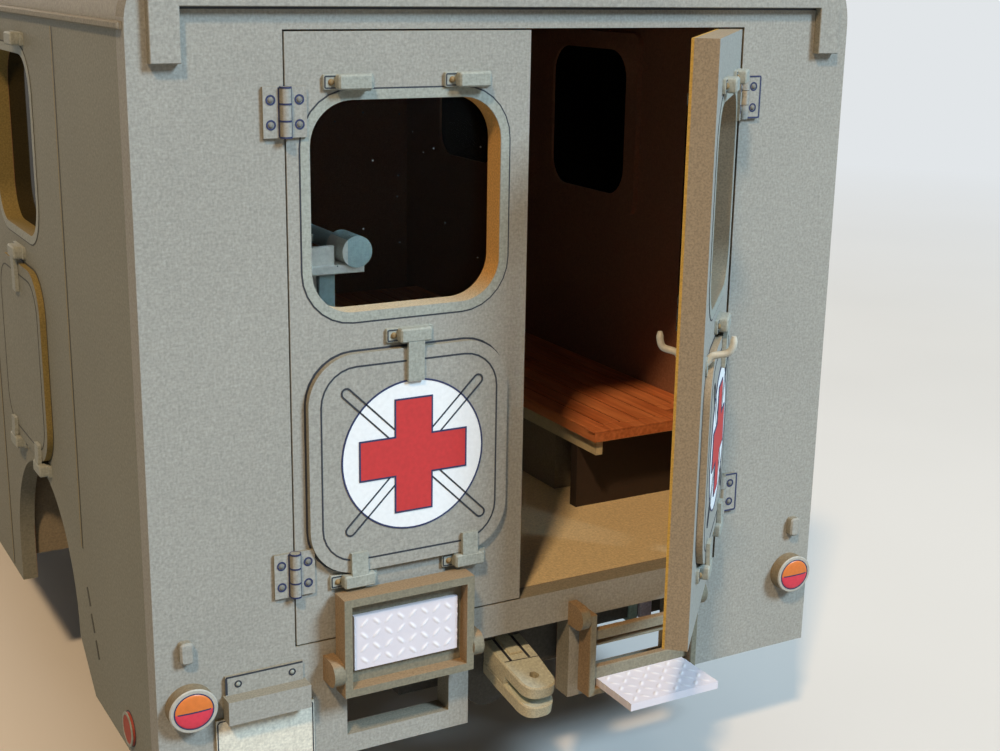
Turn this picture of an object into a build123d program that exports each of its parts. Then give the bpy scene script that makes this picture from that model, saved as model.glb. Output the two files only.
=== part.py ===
"""Card scale model of a military ambulance truck, 1:32, in millimetres.

The vehicle stands on its wheels with its front towards +Y. Heights in the
tables below are measured from the lower edge of the skirts, and stations
along the vehicle from the rear face of the box.
"""
from math import cos, radians, sin
import os

from build123d import *

os.makedirs("parts", exist_ok=True)

# Overall sizes
body_width = 68.4
skirt_height = 12.2
box_length = 92.8
box_height = 69.5
roof_radius = 7.0

# Thickness of the card walls
side_wall = 1.6
rear_wall = 2.2
front_wall = 1.2
roof_wall = 1.2
floor_board = 1.2
lining = 0.8
sheet = 0.3
glass = 0.3

# Rear doors
doorway_width = 44.2
door_head = 7.1
floor_rise = 11.25
door_gap = 0.15
door_open = 47.5
hinge_stand = 0.45
hinge_width = 3.6
hinge_height = 3.9
hinge_drop = 6.2
hinge_lift = 6.75
knuckle_radius = 0.45
pin_radius = 0.2
pin_clearance = 0.06
tongue_lift = 0.05

# Windows with their stowed shutters and clips
window_margin = 2.5
window_radius = 3.6
glass_lap = 1.0
door_window_shift = 0.4
side_bracket_gap = 1.5
side_bays = (41.2, 71.7)
shutter_margin = 1.75
shutter_radius = 4.2
shutter_thickness = 0.6
clip_width = 4.3
clip_height = 1.2
clip_depth = 1.1
strap_width = 1.5
strap_thickness = 0.4
clip_span = 5.3
catch_strap = 3.4
clamp_strap = 2.0

# Shares of the doorway's height
window_share = 0.3343
shutter_share = 0.3754
door_window_share = 0.2737
shutter_drop_share = 0.4203
bracket_share = 0.1955
catch_share = 0.2111
clamp_share = 0.6217
handle_share = 0.476

# Lever handle of the right rear door
handle_inset = 3.1
handle_radius = 0.35
lever_radius = 0.3
handle_out = 2.3
handle_in = 2.0
lever_height = 1.6

# Gutters
gutter_drop = 5.4
gutter_inset = 1.6
gutter_height = 1.3
gutter_depth = 0.8
gutter_tab_width = 2.35
gutter_tab_height = 4.1
side_gutter_drop = 7.2
side_gutter_height = 0.8

# Lower rear panel
sill_bottom = 8.1
notch_width = 10.8
cutout_bottom = 1.8

# Shares of half the body's width
step_share = 0.3626
cutout_share = 0.2924
plate_share = 0.2558
plate_place_share = 0.731

# Lamps, blocks, reflectors and the number plate
lamp_margin = 2.7
lamp_rise = 7.95
lamp_radius = 2.15
lamp_depth = 1.3
lens_radius = 1.7
lens_depth = 0.25
block_margin = 2.5
block_rise = 13.0
block_size = (1.1, 2.3, 0.8)
plate_height = 6.2
plate_cover = (1.45, 2.1, 1.6)
plate_flange = (1.85, 1.7)
reflector_station = 8.6
reflector_rise = 2.5
reflector_radius = 1.5

# Folding steps
step_bar = 0.7
step_clearance = 0.3
step_depth = 2.0
step_stand = 0.5
step_pivot_rise = 8.8
step_boss_radius = 1.15
step_boss_length = 1.0
folded_bottom = 6.7
tread_margin = 1.25
tread_depth = 5.0
tread_thickness = 0.5
hanging_bottom = 0.9
hanging_rails = ((8.5, 1.0), (4.0, 1.3))
lowered_depth = 6.5
lowered_thickness = 0.8

# Tow hook
hook_width = 4.0
hook_jaw = 1.15
hook_mouth = 0.9
hook_hole_radius = 0.5
hook_hole_station = -2.7
hook_hole_rise = 4.8
hook_root_station = 3.4
hook_droop = 12.0

# Running gear
rear_axle_station = 38.9
wheelbase = 84.4
front_overhang = 24.2
wheel_inset = 9.2
tyre_radius = 12.6
tyre_width = 6.4
tyre_wall = 1.5
tyre_sides = 48
rim_radius = 7.0
rim_step = 0.6
rim_fit = 0.02
rim_flange = 0.8
rim_dish = 1.3
rim_holes = 6
rim_hole_radius = 0.7
hub_radius = 2.6
stub_radius = 1.0
stub_clearance = 0.05
stub_length = 6.0
drum_radius = 4.6
drum_width = 1.6
axle_radius = 1.4
differential_radius = 4.2
differential_width = 6.5
tube_radius = 2.6
tube_rear_station = 6.0
tube_lead = 6.7
outrigger_offsets = (-18.9, 21.1)
outrigger_setback = 6.8
cab_outrigger_lead = 8.2
outrigger_width = 2.4
outrigger_depth = 3.2
outrigger_gap = 0.4
hook_beam_bottom = 2.5
tube_notch_gap = 0.4
arch_radius = 13.2
arch_centre = 4.3
arch_chamfer = 6.0
well_depth = 13.4
well_clearance = 0.5

# Cab, with stations given ahead of (+) or behind (-) the front axle
cab_gap = 0.4
cab_wall = 1.2
cab_bottom = 2.0
cab_waist = 31.0
cab_roof = 55.0
cab_lean = 4.7
cab_front_radius = 8.0
cab_roof_radius = 4.0
screen_base_lead = 9.2
screen_rake = 5.5
screen_top = 52.0
visor_depth = 4.0
pane_height = 14.0
pane_rise = 10.5
pane_margin = 4.5
pane_radius = 1.5
centre_post = 2.0
cab_floor_rise = 9.0
floor_clearance = 0.1
cab_door_setback = 3.8
cab_door_lead = -2.8
cab_door_rises = (4.0, 50.0)
cab_door_gap = 0.35
cab_door_radius = 3.0
cab_door_reach = 8.0
cab_window_rises = (33.0, 47.0)
cab_window_margin = 2.6
cab_window_radius = 2.0
cab_hinge_rises = (21.5, 28.0)
cab_handle_rise = 27.5
cab_handle_setback = 2.6
cab_handle_length = 3.4
mirror_radius = 2.0
mirror_thickness = 0.6
mirror_lead = 1.4
mirror_reach = 2.6
mirror_rise = 37.0
mirror_foot_rise = 29.0
mirror_arm_radius = 0.3

# Fenders, nose, grille, bumper and headlamps
fender_radius = 17.0
fender_top = 19.5
fender_lead = 19.2
fender_round = 9.0
fender_edge = 3.0
nose_half = 16.5
nose_lead = 22.3
nose_top = 29.5
nose_front_top = 27.0
nose_round = 6.5
nose_edge = 3.5
bevel_share = 0.55
grille_bars = 6
grille_slot = 1.0
grille_pitch = 2.2
grille_rise = 6.4
grille_half = 10.5
bumper_height = 4.0
bumper_rise = 0.6
bumper_inset = 1.0
bumper_round = 1.2
headlamp_radius = 3.0
headlamp_margin = 9.2
headlamp_rise = 12.6
headlamp_depth = 1.4
headlamp_glass = 2.4
headlamp_dish = 0.5

# Cab inside
engine_size = (13.0, 20.0, 13.0)
engine_tail = -15.3
seat_inner = 8.0
seat_width = 16.0
seat_height = 10.0
seat_back_height = 27.0
seat_back = 3.0
seat_setback = 1.8
seat_lead = -13.3
dash_inset = 7.0
dash_drop = 1.5
dash_shelf = 1.0
dash_height = 4.0
dash_lead = 1.2
dash_face = 3.0
dash_depth = 6.3
steering_inset = 3.2
steering_lead = -5.3
steering_rise = 29.0
steering_radius = 5.5
steering_bar = 0.8
steering_lean = 30.0
column_radius = 0.6

# Bench and stretcher
bench_top = 21.0
bench_depth = 15.7
bench_station = 14.2
bench_front_gap = 3.4
bench_thickness = 1.2
bench_slats = 7
bench_border = 1.5
bench_notch = (5.0, 3.6)
bench_leg = 1.2
bench_leg_inset = 0.5
bench_rail = 1.6
bench_panel = 0.8
slat_groove = 0.35
stretcher_rise = 43.2
stretcher_gap = 1.1
stretcher_width = 19.8
stretcher_station = 8.0
stretcher_length = 69.0
pole_radius = 0.8
grip_radius = 1.4
grip_length = 3.6
canvas_setback = 8.0
canvas_thickness = 0.6
rack_arm = 1.4
rack_offsets = (5.5, 48.0)

# Places worked out from the sizes above
overall_length = rear_axle_station + wheelbase + front_overhang
doorway_top = box_height - door_head
doorway_height = doorway_top - floor_rise
window_width = doorway_width / 2 - 2 * window_margin
window_height = doorway_height * window_share
shutter_width = doorway_width / 2 - 2 * shutter_margin
shutter_height = doorway_height * shutter_share
shutter_drop = doorway_height * shutter_drop_share
bracket_rise = doorway_height * bracket_share
catch_drop = doorway_height * catch_share
clamp_drop = doorway_height * clamp_share
handle_lift = doorway_height * handle_share
door_window_rise = doorway_top - doorway_height * door_window_share
side_bracket_top = box_height - side_gutter_drop - side_bracket_gap
side_window_rise = side_bracket_top - clip_height / 2 - bracket_rise
hinge_rises = (doorway_top - hinge_drop, floor_rise + hinge_lift)
gutter_rise = box_height - gutter_drop
side_gutter_rise = box_height - side_gutter_drop
leaf_width = doorway_width / 2 - door_gap
leaf_height = doorway_height - 2 * door_gap
door_swing = leaf_width * sin(radians(door_open)) + hinge_stand * (1 - cos(radians(door_open)))
y_rear = (door_swing - overall_length) / 2
y_inner = y_rear + rear_wall
y_box = y_rear + box_length
y_bulkhead = y_box - front_wall
y_cab = y_box + cab_gap
y_rear_axle = y_rear + rear_axle_station
y_front_axle = y_rear_axle + wheelbase
half_width = body_width / 2
inner_half = half_width - side_wall
track = body_width - 2 * wheel_inset
well_inner = inner_half - well_depth
step_width = half_width * step_share
step_offset = step_width
cutout_width = half_width * cutout_share
plate_width = half_width * plate_share
tread_length = step_width - 2 * tread_margin
folded_top = door_window_rise - clamp_drop - clip_height / 2 - step_clearance
folded_height = folded_top - folded_bottom
floor_top = skirt_height + floor_rise
floor_underside = floor_top - floor_board
hinge_x = doorway_width / 2
rear_face = Plane.XZ.offset(-y_rear)
side_faces = {-1: Plane.YZ.offset(-half_width), 1: Plane.YZ.offset(half_width)}


def rise(height):
    """Height above the ground of a height above the skirts' edge."""
    return skirt_height + height


def station(distance):
    """Y of a distance forward from the rear face of the box."""
    return y_rear + distance


def block(x, y, z, mode=Mode.ADD):
    """Box between two corners on each axis, given as (low, high) pairs."""
    middle = [(low + high) / 2 for low, high in (x, y, z)]
    with Locations(tuple(middle)):
        return Box(x[1] - x[0], y[1] - y[0], z[1] - z[0], mode=mode)


def arch_sketch(y_axle):
    """Wheel arch on a side plane, with its cut corner behind the wheel."""
    with Locations((y_axle, rise(arch_centre))):
        Circle(arch_radius, mode=Mode.SUBTRACT)
    with Locations((y_axle, rise(arch_centre) / 2)):
        Rectangle(2 * arch_radius, rise(arch_centre), mode=Mode.SUBTRACT)
    low = rise(-1)
    rear = y_axle - arch_radius
    with BuildLine() as corner:
        Polyline(
            (rear, low),
            (rear - arch_chamfer, low),
            (rear, rise(arch_centre)),
            close=True,
        )
    make_face(corner.edges(), mode=Mode.SUBTRACT)


def outline_box(width, height, radius):
    """Front view of the box, with its rounded roof corners."""
    with BuildLine() as outline:
        half = width / 2
        Polyline(
            (-half, rise(height - radius)),
            (-half, rise(0)),
            (half, rise(0)),
            (half, rise(height - radius)),
        )
        RadiusArc((half, rise(height - radius)), (half - radius, rise(height)), -radius)
        Line((half - radius, rise(height)), (-half + radius, rise(height)))
        RadiusArc((-half + radius, rise(height)), (-half, rise(height - radius)), -radius)
    make_face(outline.edges())


# Box body
with BuildPart() as rear_panel:
    with BuildSketch(rear_face):
        outline_box(body_width, box_height, roof_radius)
        with Locations((0, rise((doorway_top + floor_rise) / 2))):
            Rectangle(doorway_width, doorway_height, mode=Mode.SUBTRACT)
        with Locations((0, rise(sill_bottom / 2))):
            Rectangle(notch_width, sill_bottom, mode=Mode.SUBTRACT)
        cutout_middle = rise((sill_bottom + cutout_bottom) / 2)
        with Locations((-step_offset, cutout_middle), (step_offset, cutout_middle)):
            Rectangle(cutout_width, sill_bottom - cutout_bottom, mode=Mode.SUBTRACT)
    extrude(amount=-rear_wall)


def side_panel(side):
    """Side wall with two windows and the rear wheel arch."""
    with BuildPart() as panel:
        with BuildSketch(side_faces[side]):
            top = box_height - roof_radius
            with Locations(((y_inner + y_bulkhead) / 2, rise(top / 2))):
                Rectangle(y_bulkhead - y_inner, top)
            arch_sketch(y_rear_axle)
            with Locations(*[(station(bay), rise(side_window_rise)) for bay in side_bays]):
                RectangleRounded(window_width, window_height, window_radius, mode=Mode.SUBTRACT)
        extrude(amount=-side * side_wall)
    return panel


with BuildPart() as box_roof:
    with BuildSketch(Plane.XZ.offset(-y_bulkhead)):
        outline_box(body_width, box_height, roof_radius)
        with Locations((0, rise((box_height - roof_radius) / 2))):
            Rectangle(body_width, box_height - roof_radius, mode=Mode.SUBTRACT)
        with BuildSketch(mode=Mode.SUBTRACT):
            outline_box(body_width - 2 * roof_wall, box_height - roof_wall, roof_radius - roof_wall)
    extrude(amount=y_bulkhead - y_inner)

with BuildPart() as front_bulkhead:
    with BuildSketch(Plane.XZ.offset(-y_box)):
        outline_box(body_width, box_height, roof_radius)
        with Locations((0, floor_underside / 2)):
            Rectangle(2 * body_width, floor_underside, mode=Mode.SUBTRACT)
    extrude(amount=front_wall)

well_ends = (
    y_rear_axle - arch_radius - well_clearance,
    y_rear_axle + arch_radius + well_clearance,
)
well_top = rise(arch_centre + arch_radius + well_clearance)

with BuildPart() as box_floor:
    block((-inner_half, inner_half), (y_inner, y_bulkhead), (floor_top - floor_board, floor_top))
    for side in (-1, 1):
        edge = sorted((side * (well_inner - lining), side * inner_half))
        ends = (well_ends[0] - lining, well_ends[1] + lining)
        block(edge, ends, (floor_top - floor_board, floor_top), Mode.SUBTRACT)


def wheel_wells(ends, top, bottom, outer):
    """Pair of linings, each open below and towards its wheel arch."""
    with BuildPart() as wells:
        block(
            (well_inner - lining, outer),
            (ends[0] - lining, ends[1] + lining),
            (bottom, top + lining),
        )
        block((well_inner, outer), ends, (bottom, top), Mode.SUBTRACT)
        middle = (ends[0] + ends[1]) / 2
        slot = differential_width / 2 + 1
        block(
            (well_inner - lining, well_inner),
            (middle - slot, middle + slot),
            (bottom, tyre_radius + slot),
            Mode.SUBTRACT,
        )
        mirror(about=Plane.YZ)
    return wells


rear_wheel_wells = wheel_wells(well_ends, well_top, rise(2.7), inner_half)

with BuildPart() as gutters:
    with BuildSketch(rear_face):
        with Locations((0, rise(gutter_rise + gutter_height / 2))):
            Rectangle(body_width - 2 * gutter_inset, gutter_height)
        tab_middle = half_width - gutter_inset - gutter_tab_width / 2
        tab_rise = rise(gutter_rise - gutter_tab_height / 2)
        with Locations((-tab_middle, tab_rise), (tab_middle, tab_rise)):
            Rectangle(gutter_tab_width, gutter_tab_height)
    extrude(amount=gutter_depth)
    for side in (-1, 1):
        block(
            sorted((side * half_width, side * (half_width + gutter_depth))),
            (y_rear, y_box),
            (rise(side_gutter_rise), rise(side_gutter_rise + side_gutter_height)),
        )


# Windows: glass, stowed shutters, brackets, catches and clamps
def window_glass(plane, centres, inward, depth):
    """Panes lapped over the inner edges of the window openings."""
    with BuildPart() as panes:
        with BuildSketch(plane.offset(inward * depth)):
            with Locations(*centres):
                Rectangle(window_width + 2 * glass_lap, window_height + 2 * glass_lap)
        extrude(amount=inward * glass)
    return panes


def shutters(plane, centres, outward):
    """Raised shutters stowed below the windows."""
    with BuildPart() as plates:
        with BuildSketch(plane):
            with Locations(*[(u, v - shutter_drop) for u, v in centres]):
                RectangleRounded(shutter_width, shutter_height, shutter_radius)
        extrude(amount=outward * shutter_thickness)
    return plates


def clips(plane, centres, outward):
    """Brackets above each window, catch and clamps round each shutter."""
    # columns: offset across, offset up, strap length up (+) or down (-)
    table = (
        (-clip_span, bracket_rise, 0),
        (clip_span, bracket_rise, 0),
        (0, -catch_drop, -catch_strap),
        (-clip_span, -clamp_drop, clamp_strap),
        (clip_span, -clamp_drop, clamp_strap),
    )
    with BuildPart() as pieces:
        with BuildSketch(plane):
            for u, v in centres:
                with Locations(*[(u + du, v + dv) for du, dv, _ in table]):
                    Rectangle(clip_width, clip_height)
        extrude(amount=outward * sheet)
        with BuildSketch(plane):
            for u, v in centres:
                with Locations(*[(u + du + sheet, v + dv) for du, dv, _ in table]):
                    Rectangle(clip_width - 1.4, clip_height)
        extrude(amount=outward * clip_depth)
        with BuildSketch(plane.offset(outward * shutter_thickness)):
            for u, v in centres:
                for du, dv, strap in table:
                    if strap:
                        with Locations((u + du + sheet, v + dv + strap / 2)):
                            Rectangle(strap_width, clip_height + abs(strap))
        extrude(amount=outward * strap_thickness)
    return pieces


side_centres = [(station(bay), rise(side_window_rise)) for bay in side_bays]
twins = {}
for twin, maker, values in (
    ("side_glass", window_glass, (-1, side_wall)),
    ("side_shutters", shutters, (1,)),
    ("side_clips", clips, (1,)),
):
    with BuildPart() as both:
        add(maker(side_faces[1], side_centres, *values).part)
        mirror(about=Plane.YZ)
    twins[twin] = both


# Hinges
def hinge_half(place, direction, thirds):
    """Leaf and knuckles round a pin that stands before a wall.

    The place has its Z up the pin, its X along the wall and its Y into it.
    """
    knuckle = hinge_height / 3
    near, far = direction * knuckle_radius, direction * hinge_width / 2
    with BuildPart(place) as half:
        block(
            sorted((near, far)),
            (hinge_stand - sheet, hinge_stand),
            (-hinge_height / 2, hinge_height / 2),
        )
        for third in thirds:
            size = knuckle - pin_clearance
            ends = (third * knuckle - size / 2, third * knuckle + size / 2)
            tongue = (hinge_stand - sheet - tongue_lift, hinge_stand - tongue_lift)
            block(sorted((0, near)), tongue, ends)
            with Locations((0, 0, third * knuckle)):
                Cylinder(knuckle_radius, size)
    return half.part


def hinge_pin(place, radius):
    """Pin, or the bore round it, along a hinge."""
    with BuildPart(place) as pin:
        Cylinder(radius, hinge_height)
    return pin.part


rear_hinge_places = [
    Plane(origin=(hinge_x, y_rear - hinge_stand, rise(height)), x_dir=(1, 0, 0), z_dir=(0, 0, 1))
    for height in hinge_rises
]


# Rear doors, both drawn closed
def rear_door(side):
    """Door leaf with its window opening."""
    with BuildPart() as leaf:
        with BuildSketch(rear_face):
            with Locations((side * doorway_width / 4, rise((doorway_top + floor_rise) / 2))):
                Rectangle(leaf_width - door_gap, leaf_height)
            with Locations((door_window_x(side), rise(door_window_rise))):
                RectangleRounded(window_width, window_height, window_radius, mode=Mode.SUBTRACT)
        extrude(amount=-rear_wall)
        if side > 0:
            for place in rear_hinge_places:
                add(hinge_half(place, -1, (0,)))
                add(hinge_pin(place, pin_radius + pin_clearance), mode=Mode.SUBTRACT)
            with Locations((handle_x, y_rear + rear_wall / 2, rise(floor_rise + handle_lift))):
                Cylinder(
                    handle_radius + pin_clearance,
                    2 * rear_wall,
                    rotation=(90, 0, 0),
                    mode=Mode.SUBTRACT,
                )
    return leaf


def door_window_x(side):
    """Window centre, a little nearer the hinges than the leaf's centre."""
    return side * (doorway_width / 4 + door_window_shift)


handle_x = door_gap + handle_inset
rear_door_left = rear_door(-1)
rear_door_right = rear_door(1)

door_centres = {side: [(door_window_x(side), rise(door_window_rise))] for side in (-1, 1)}
door_glass_left = window_glass(rear_face, door_centres[-1], -1, rear_wall)
door_glass_right = window_glass(rear_face, door_centres[1], -1, rear_wall)
door_shutter_left = shutters(rear_face, door_centres[-1], 1)
door_shutter_right = shutters(rear_face, door_centres[1], 1)
door_clips_left = clips(rear_face, door_centres[-1], 1)
door_clips_right = clips(rear_face, door_centres[1], 1)

with BuildPart() as door_handle:
    spindle = (y_rear - handle_out, y_rear + rear_wall + handle_in)
    lever_foot = rise(floor_rise + handle_lift)
    with Locations((handle_x, sum(spindle) / 2, lever_foot)):
        Cylinder(handle_radius, spindle[1] - spindle[0], rotation=(90, 0, 0))
    for end in (spindle[0] + handle_radius, spindle[1] - handle_radius):
        with Locations((handle_x, end, lever_foot)):
            Cylinder(lever_radius, lever_height, align=(Align.CENTER, Align.CENTER, Align.MIN))

with BuildPart() as door_hinges:
    for place, height in zip(rear_hinge_places, hinge_rises):
        add(hinge_half(place, 1, (-1, 1)))
        add(hinge_pin(place, pin_radius))
        low, high = rise(height) - hinge_height / 2, rise(height) + hinge_height / 2
        leaf_ends = (-hinge_x - hinge_width / 2, -hinge_x + hinge_width / 2)
        block(leaf_ends, (y_rear - sheet, y_rear), (low, high))
        with Locations((-hinge_x, y_rear - hinge_stand, rise(height))):
            Cylinder(knuckle_radius, hinge_height)

# Rear fittings
lamp_x = half_width - lamp_margin
block_x = half_width - block_margin
plate_x = -half_width * plate_place_share
with BuildPart() as tail_lamps:
    with BuildSketch(rear_face):
        with Locations((-lamp_x, rise(lamp_rise)), (lamp_x, rise(lamp_rise))):
            Circle(lamp_radius)
    extrude(amount=lamp_depth)

with BuildPart() as tail_lenses:
    with BuildSketch(rear_face.offset(lamp_depth)):
        with Locations((-lamp_x, rise(lamp_rise)), (lamp_x, rise(lamp_rise))):
            Circle(lens_radius)
    extrude(amount=lens_depth)

with BuildPart() as marker_blocks:
    with BuildSketch(rear_face):
        with Locations((-block_x, rise(block_rise)), (block_x, rise(block_rise))):
            Rectangle(block_size[0], block_size[1])
    extrude(amount=block_size[2])

with BuildPart() as plate_holder:
    cover_bottom = rise(plate_height)
    with BuildSketch(rear_face):
        with Locations((plate_x, cover_bottom + plate_cover[1] + plate_flange[1] / 2)):
            Rectangle(plate_width - plate_flange[0], plate_flange[1])
    extrude(amount=sheet)
    with BuildSketch(rear_face):
        with Locations((plate_x, cover_bottom + plate_cover[1] / 2)):
            Rectangle(plate_width - plate_cover[0], plate_cover[1])
    extrude(amount=plate_cover[2])

with BuildPart() as number_plate:
    with BuildSketch(rear_face):
        with Locations((plate_x, rise(plate_height / 2))):
            Rectangle(plate_width, plate_height)
    extrude(amount=sheet)

with BuildPart() as side_reflectors:
    with BuildSketch(side_faces[1]):
        with Locations((station(reflector_station), rise(reflector_rise))):
            Circle(reflector_radius)
    extrude(amount=sheet)
    mirror(about=Plane.YZ)


# Steps: the left one is folded up, the right one is let down
def step_pivots(side):
    """Bosses on the rear panel that carry a step."""
    with Locations(
        *[
            (side * (step_offset + end * (step_width + step_boss_length) / 2),
             y_rear - step_stand - step_depth / 2,
             rise(step_pivot_rise))
            for end in (-1, 1)
        ]
    ):
        Cylinder(step_boss_radius, step_boss_length, rotation=(0, 90, 0))
    for end in (-1, 1):
        middle = side * (step_offset + end * (step_width + step_boss_length) / 2)
        block(
            (middle - step_boss_length / 2, middle + step_boss_length / 2),
            (y_rear - step_stand - step_depth / 2, y_rear),
            (rise(step_pivot_rise) - step_boss_radius, rise(step_pivot_rise) + step_boss_radius),
        )


with BuildPart() as step_left:
    step_pivots(-1)
    folded_middle = rise(folded_bottom + folded_height / 2)
    with BuildSketch(rear_face.offset(step_stand)):
        with Locations((-step_offset, folded_middle)):
            Rectangle(step_width, folded_height)
    extrude(amount=step_depth)
    with BuildSketch(rear_face.offset(step_stand + step_bar)):
        with Locations((-step_offset, folded_middle)):
            Rectangle(step_width - 2 * step_bar, folded_height - 2 * step_bar)
    extrude(amount=step_depth, mode=Mode.SUBTRACT)

with BuildPart() as step_right:
    step_pivots(1)
    for end in (-1, 1):
        middle = step_offset + end * (step_width - step_bar) / 2
        block(
            (middle - step_bar / 2, middle + step_bar / 2),
            (y_rear - step_stand - step_depth, y_rear - step_stand),
            (rise(hanging_bottom), rise(step_pivot_rise) + step_boss_radius),
        )
    for height, depth in hanging_rails:
        block(
            (step_offset - step_width / 2, step_offset + step_width / 2),
            (y_rear - step_stand - 2 * step_bar, y_rear - step_stand - step_bar),
            (rise(height) - depth / 2, rise(height) + depth / 2),
        )
    block(
        (step_offset - step_width / 2, step_offset + step_width / 2),
        (y_rear - step_stand - step_depth, y_rear - step_stand),
        (rise(hanging_bottom), rise(hanging_bottom) + step_bar),
    )

with BuildPart() as step_treads:
    with BuildSketch(rear_face.offset(step_stand + step_bar)):
        with Locations((-step_offset, folded_middle)):
            Rectangle(tread_length, tread_depth)
    extrude(amount=tread_thickness)
    block(
        (step_offset - tread_length / 2, step_offset + tread_length / 2),
        (y_rear - step_stand - step_bar - lowered_depth, y_rear - step_stand),
        (rise(hanging_bottom) + step_bar, rise(hanging_bottom) + step_bar + lowered_thickness),
    )

# Chassis
z_axle = tyre_radius
cab_floor_underside = rise(cab_floor_rise) - floor_board
tube_ends = (station(tube_rear_station), y_front_axle + tube_lead)
cab_outrigger_half = well_inner - lining - outrigger_gap
# columns: place along the vehicle, half width, height of what it carries
outriggers = [(y_rear_axle + offset, inner_half, floor_underside) for offset in outrigger_offsets]
outriggers.append((y_box - outrigger_setback, inner_half, floor_underside))
outriggers.append((y_box + cab_outrigger_lead, cab_outrigger_half, cab_floor_underside))
with BuildPart() as chassis_tube:
    with Locations((0, sum(tube_ends) / 2, z_axle)):
        Cylinder(tube_radius, tube_ends[1] - tube_ends[0], rotation=(90, 0, 0))
    for y, half, top in outriggers:
        ends = (y - outrigger_width / 2, y + outrigger_width / 2)
        block((-half, half), ends, (top - outrigger_depth, top))
        block((-tube_radius, tube_radius), ends, (z_axle, top))
    block(
        (-notch_width, notch_width),
        (station(hook_root_station), tube_ends[0]),
        (rise(hook_beam_bottom), floor_underside),
    )

hook_plane = Plane(
    origin=(0, station(hook_hole_station), rise(hook_hole_rise)),
    x_dir=(1, 0, 0),
    z_dir=(0, -sin(radians(hook_droop)), cos(radians(hook_droop))),
)
hook_height = 2 * hook_jaw + hook_mouth
with BuildPart() as tow_hook:
    root = (hook_root_station - hook_hole_station) / cos(radians(hook_droop))
    with BuildSketch(hook_plane):
        with Locations((0, root / 2)):
            Rectangle(hook_width, root)
        Circle(hook_width / 2)
    extrude(amount=-hook_height)
    with BuildSketch(hook_plane.offset(-hook_jaw)):
        with Locations((0, -hook_width / 4)):
            Rectangle(hook_width * 1.2, hook_width * 1.5)
    extrude(amount=-hook_mouth, mode=Mode.SUBTRACT)
    with BuildSketch(hook_plane):
        Circle(hook_hole_radius)
    extrude(amount=-hook_height, mode=Mode.SUBTRACT)
    with BuildSketch(Plane.XZ.offset(-station(hook_root_station))):
        Rectangle(8 * hook_width, 20 * hook_width)
    extrude(amount=-2 * hook_width, mode=Mode.SUBTRACT)


def axle(y_axle):
    """Housing, half axles, brake drums and stub ends."""
    with BuildPart() as beam:
        with Locations((0, y_axle, z_axle)):
            Cylinder(differential_radius, differential_width, rotation=(0, 90, 0))
            Cylinder(axle_radius, track - tyre_width, rotation=(0, 90, 0))
        drum_x = (track - tyre_width - drum_width) / 2
        with Locations((-drum_x, y_axle, z_axle), (drum_x, y_axle, z_axle)):
            Cylinder(drum_radius, drum_width, rotation=(0, 90, 0))
        stub_x = (track - tyre_width + stub_length) / 2
        with Locations((-stub_x, y_axle, z_axle), (stub_x, y_axle, z_axle)):
            Cylinder(stub_radius, stub_length, rotation=(0, 90, 0))
    return beam


with BuildPart() as rear_axle:
    add(axle(y_rear_axle).part)
    with Locations((0, y_rear_axle, z_axle)):
        Cylinder(tube_radius, 2 * differential_radius, rotation=(90, 0, 0), mode=Mode.SUBTRACT)

with BuildPart() as front_axle:
    add(axle(y_front_axle).part)
    with Locations((0, y_front_axle, z_axle)):
        Cylinder(tube_radius, 2 * differential_radius, rotation=(90, 0, 0), mode=Mode.SUBTRACT)


def wheel(side, y_axle):
    """Tyre and dished rim of one wheel."""
    x = side * track / 2
    centre = Plane(origin=(x, y_axle, z_axle), x_dir=(0, 1, 0), z_dir=(side, 0, 0))
    half = tyre_width / 2
    with BuildPart() as tyre:
        with BuildSketch(centre.offset(-half)):
            RegularPolygon(tyre_radius, tyre_sides, rotation=-90)
        extrude(amount=tyre_width)
        walls = tyre.faces().filter_by(Axis.X)
        chamfer(walls.edges(), tyre_wall)
        with BuildSketch(centre.offset(-half)):
            Circle(rim_radius)
        extrude(amount=tyre_width, mode=Mode.SUBTRACT)
    with BuildPart() as rim:
        seat = rim_radius - rim_fit
        with BuildSketch(centre.offset(-half + rim_step)):
            Circle(seat)
        extrude(amount=tyre_width - 2 * rim_step)
        with BuildSketch(centre.offset(half - rim_step)):
            Circle(seat - rim_flange)
            Circle(hub_radius, mode=Mode.SUBTRACT)
        extrude(amount=-rim_dish, mode=Mode.SUBTRACT)
        with BuildSketch(centre.offset(half - rim_step - rim_dish)):
            with PolarLocations((seat - rim_flange + hub_radius) / 2, rim_holes):
                Circle(rim_hole_radius)
        extrude(amount=-rim_dish, mode=Mode.SUBTRACT)
        with BuildSketch(centre.offset(-half)):
            Circle(stub_radius + stub_clearance)
        extrude(amount=2 * tyre_width, mode=Mode.SUBTRACT)
    return tyre, rim


wheels = {
    f"{place}_{name}": wheel(side, y_axle)
    for place, y_axle in (("rear", y_rear_axle), ("front", y_front_axle))
    for name, side in (("left", -1), ("right", 1))
}


# Cab: three views cut into one another give the form, outside and inside
screen_base = y_front_axle + screen_base_lead
screen_head = screen_base - screen_rake
cab_roof_half = half_width - cab_lean
below = rise(cab_bottom) - 2 * cab_wall


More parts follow.
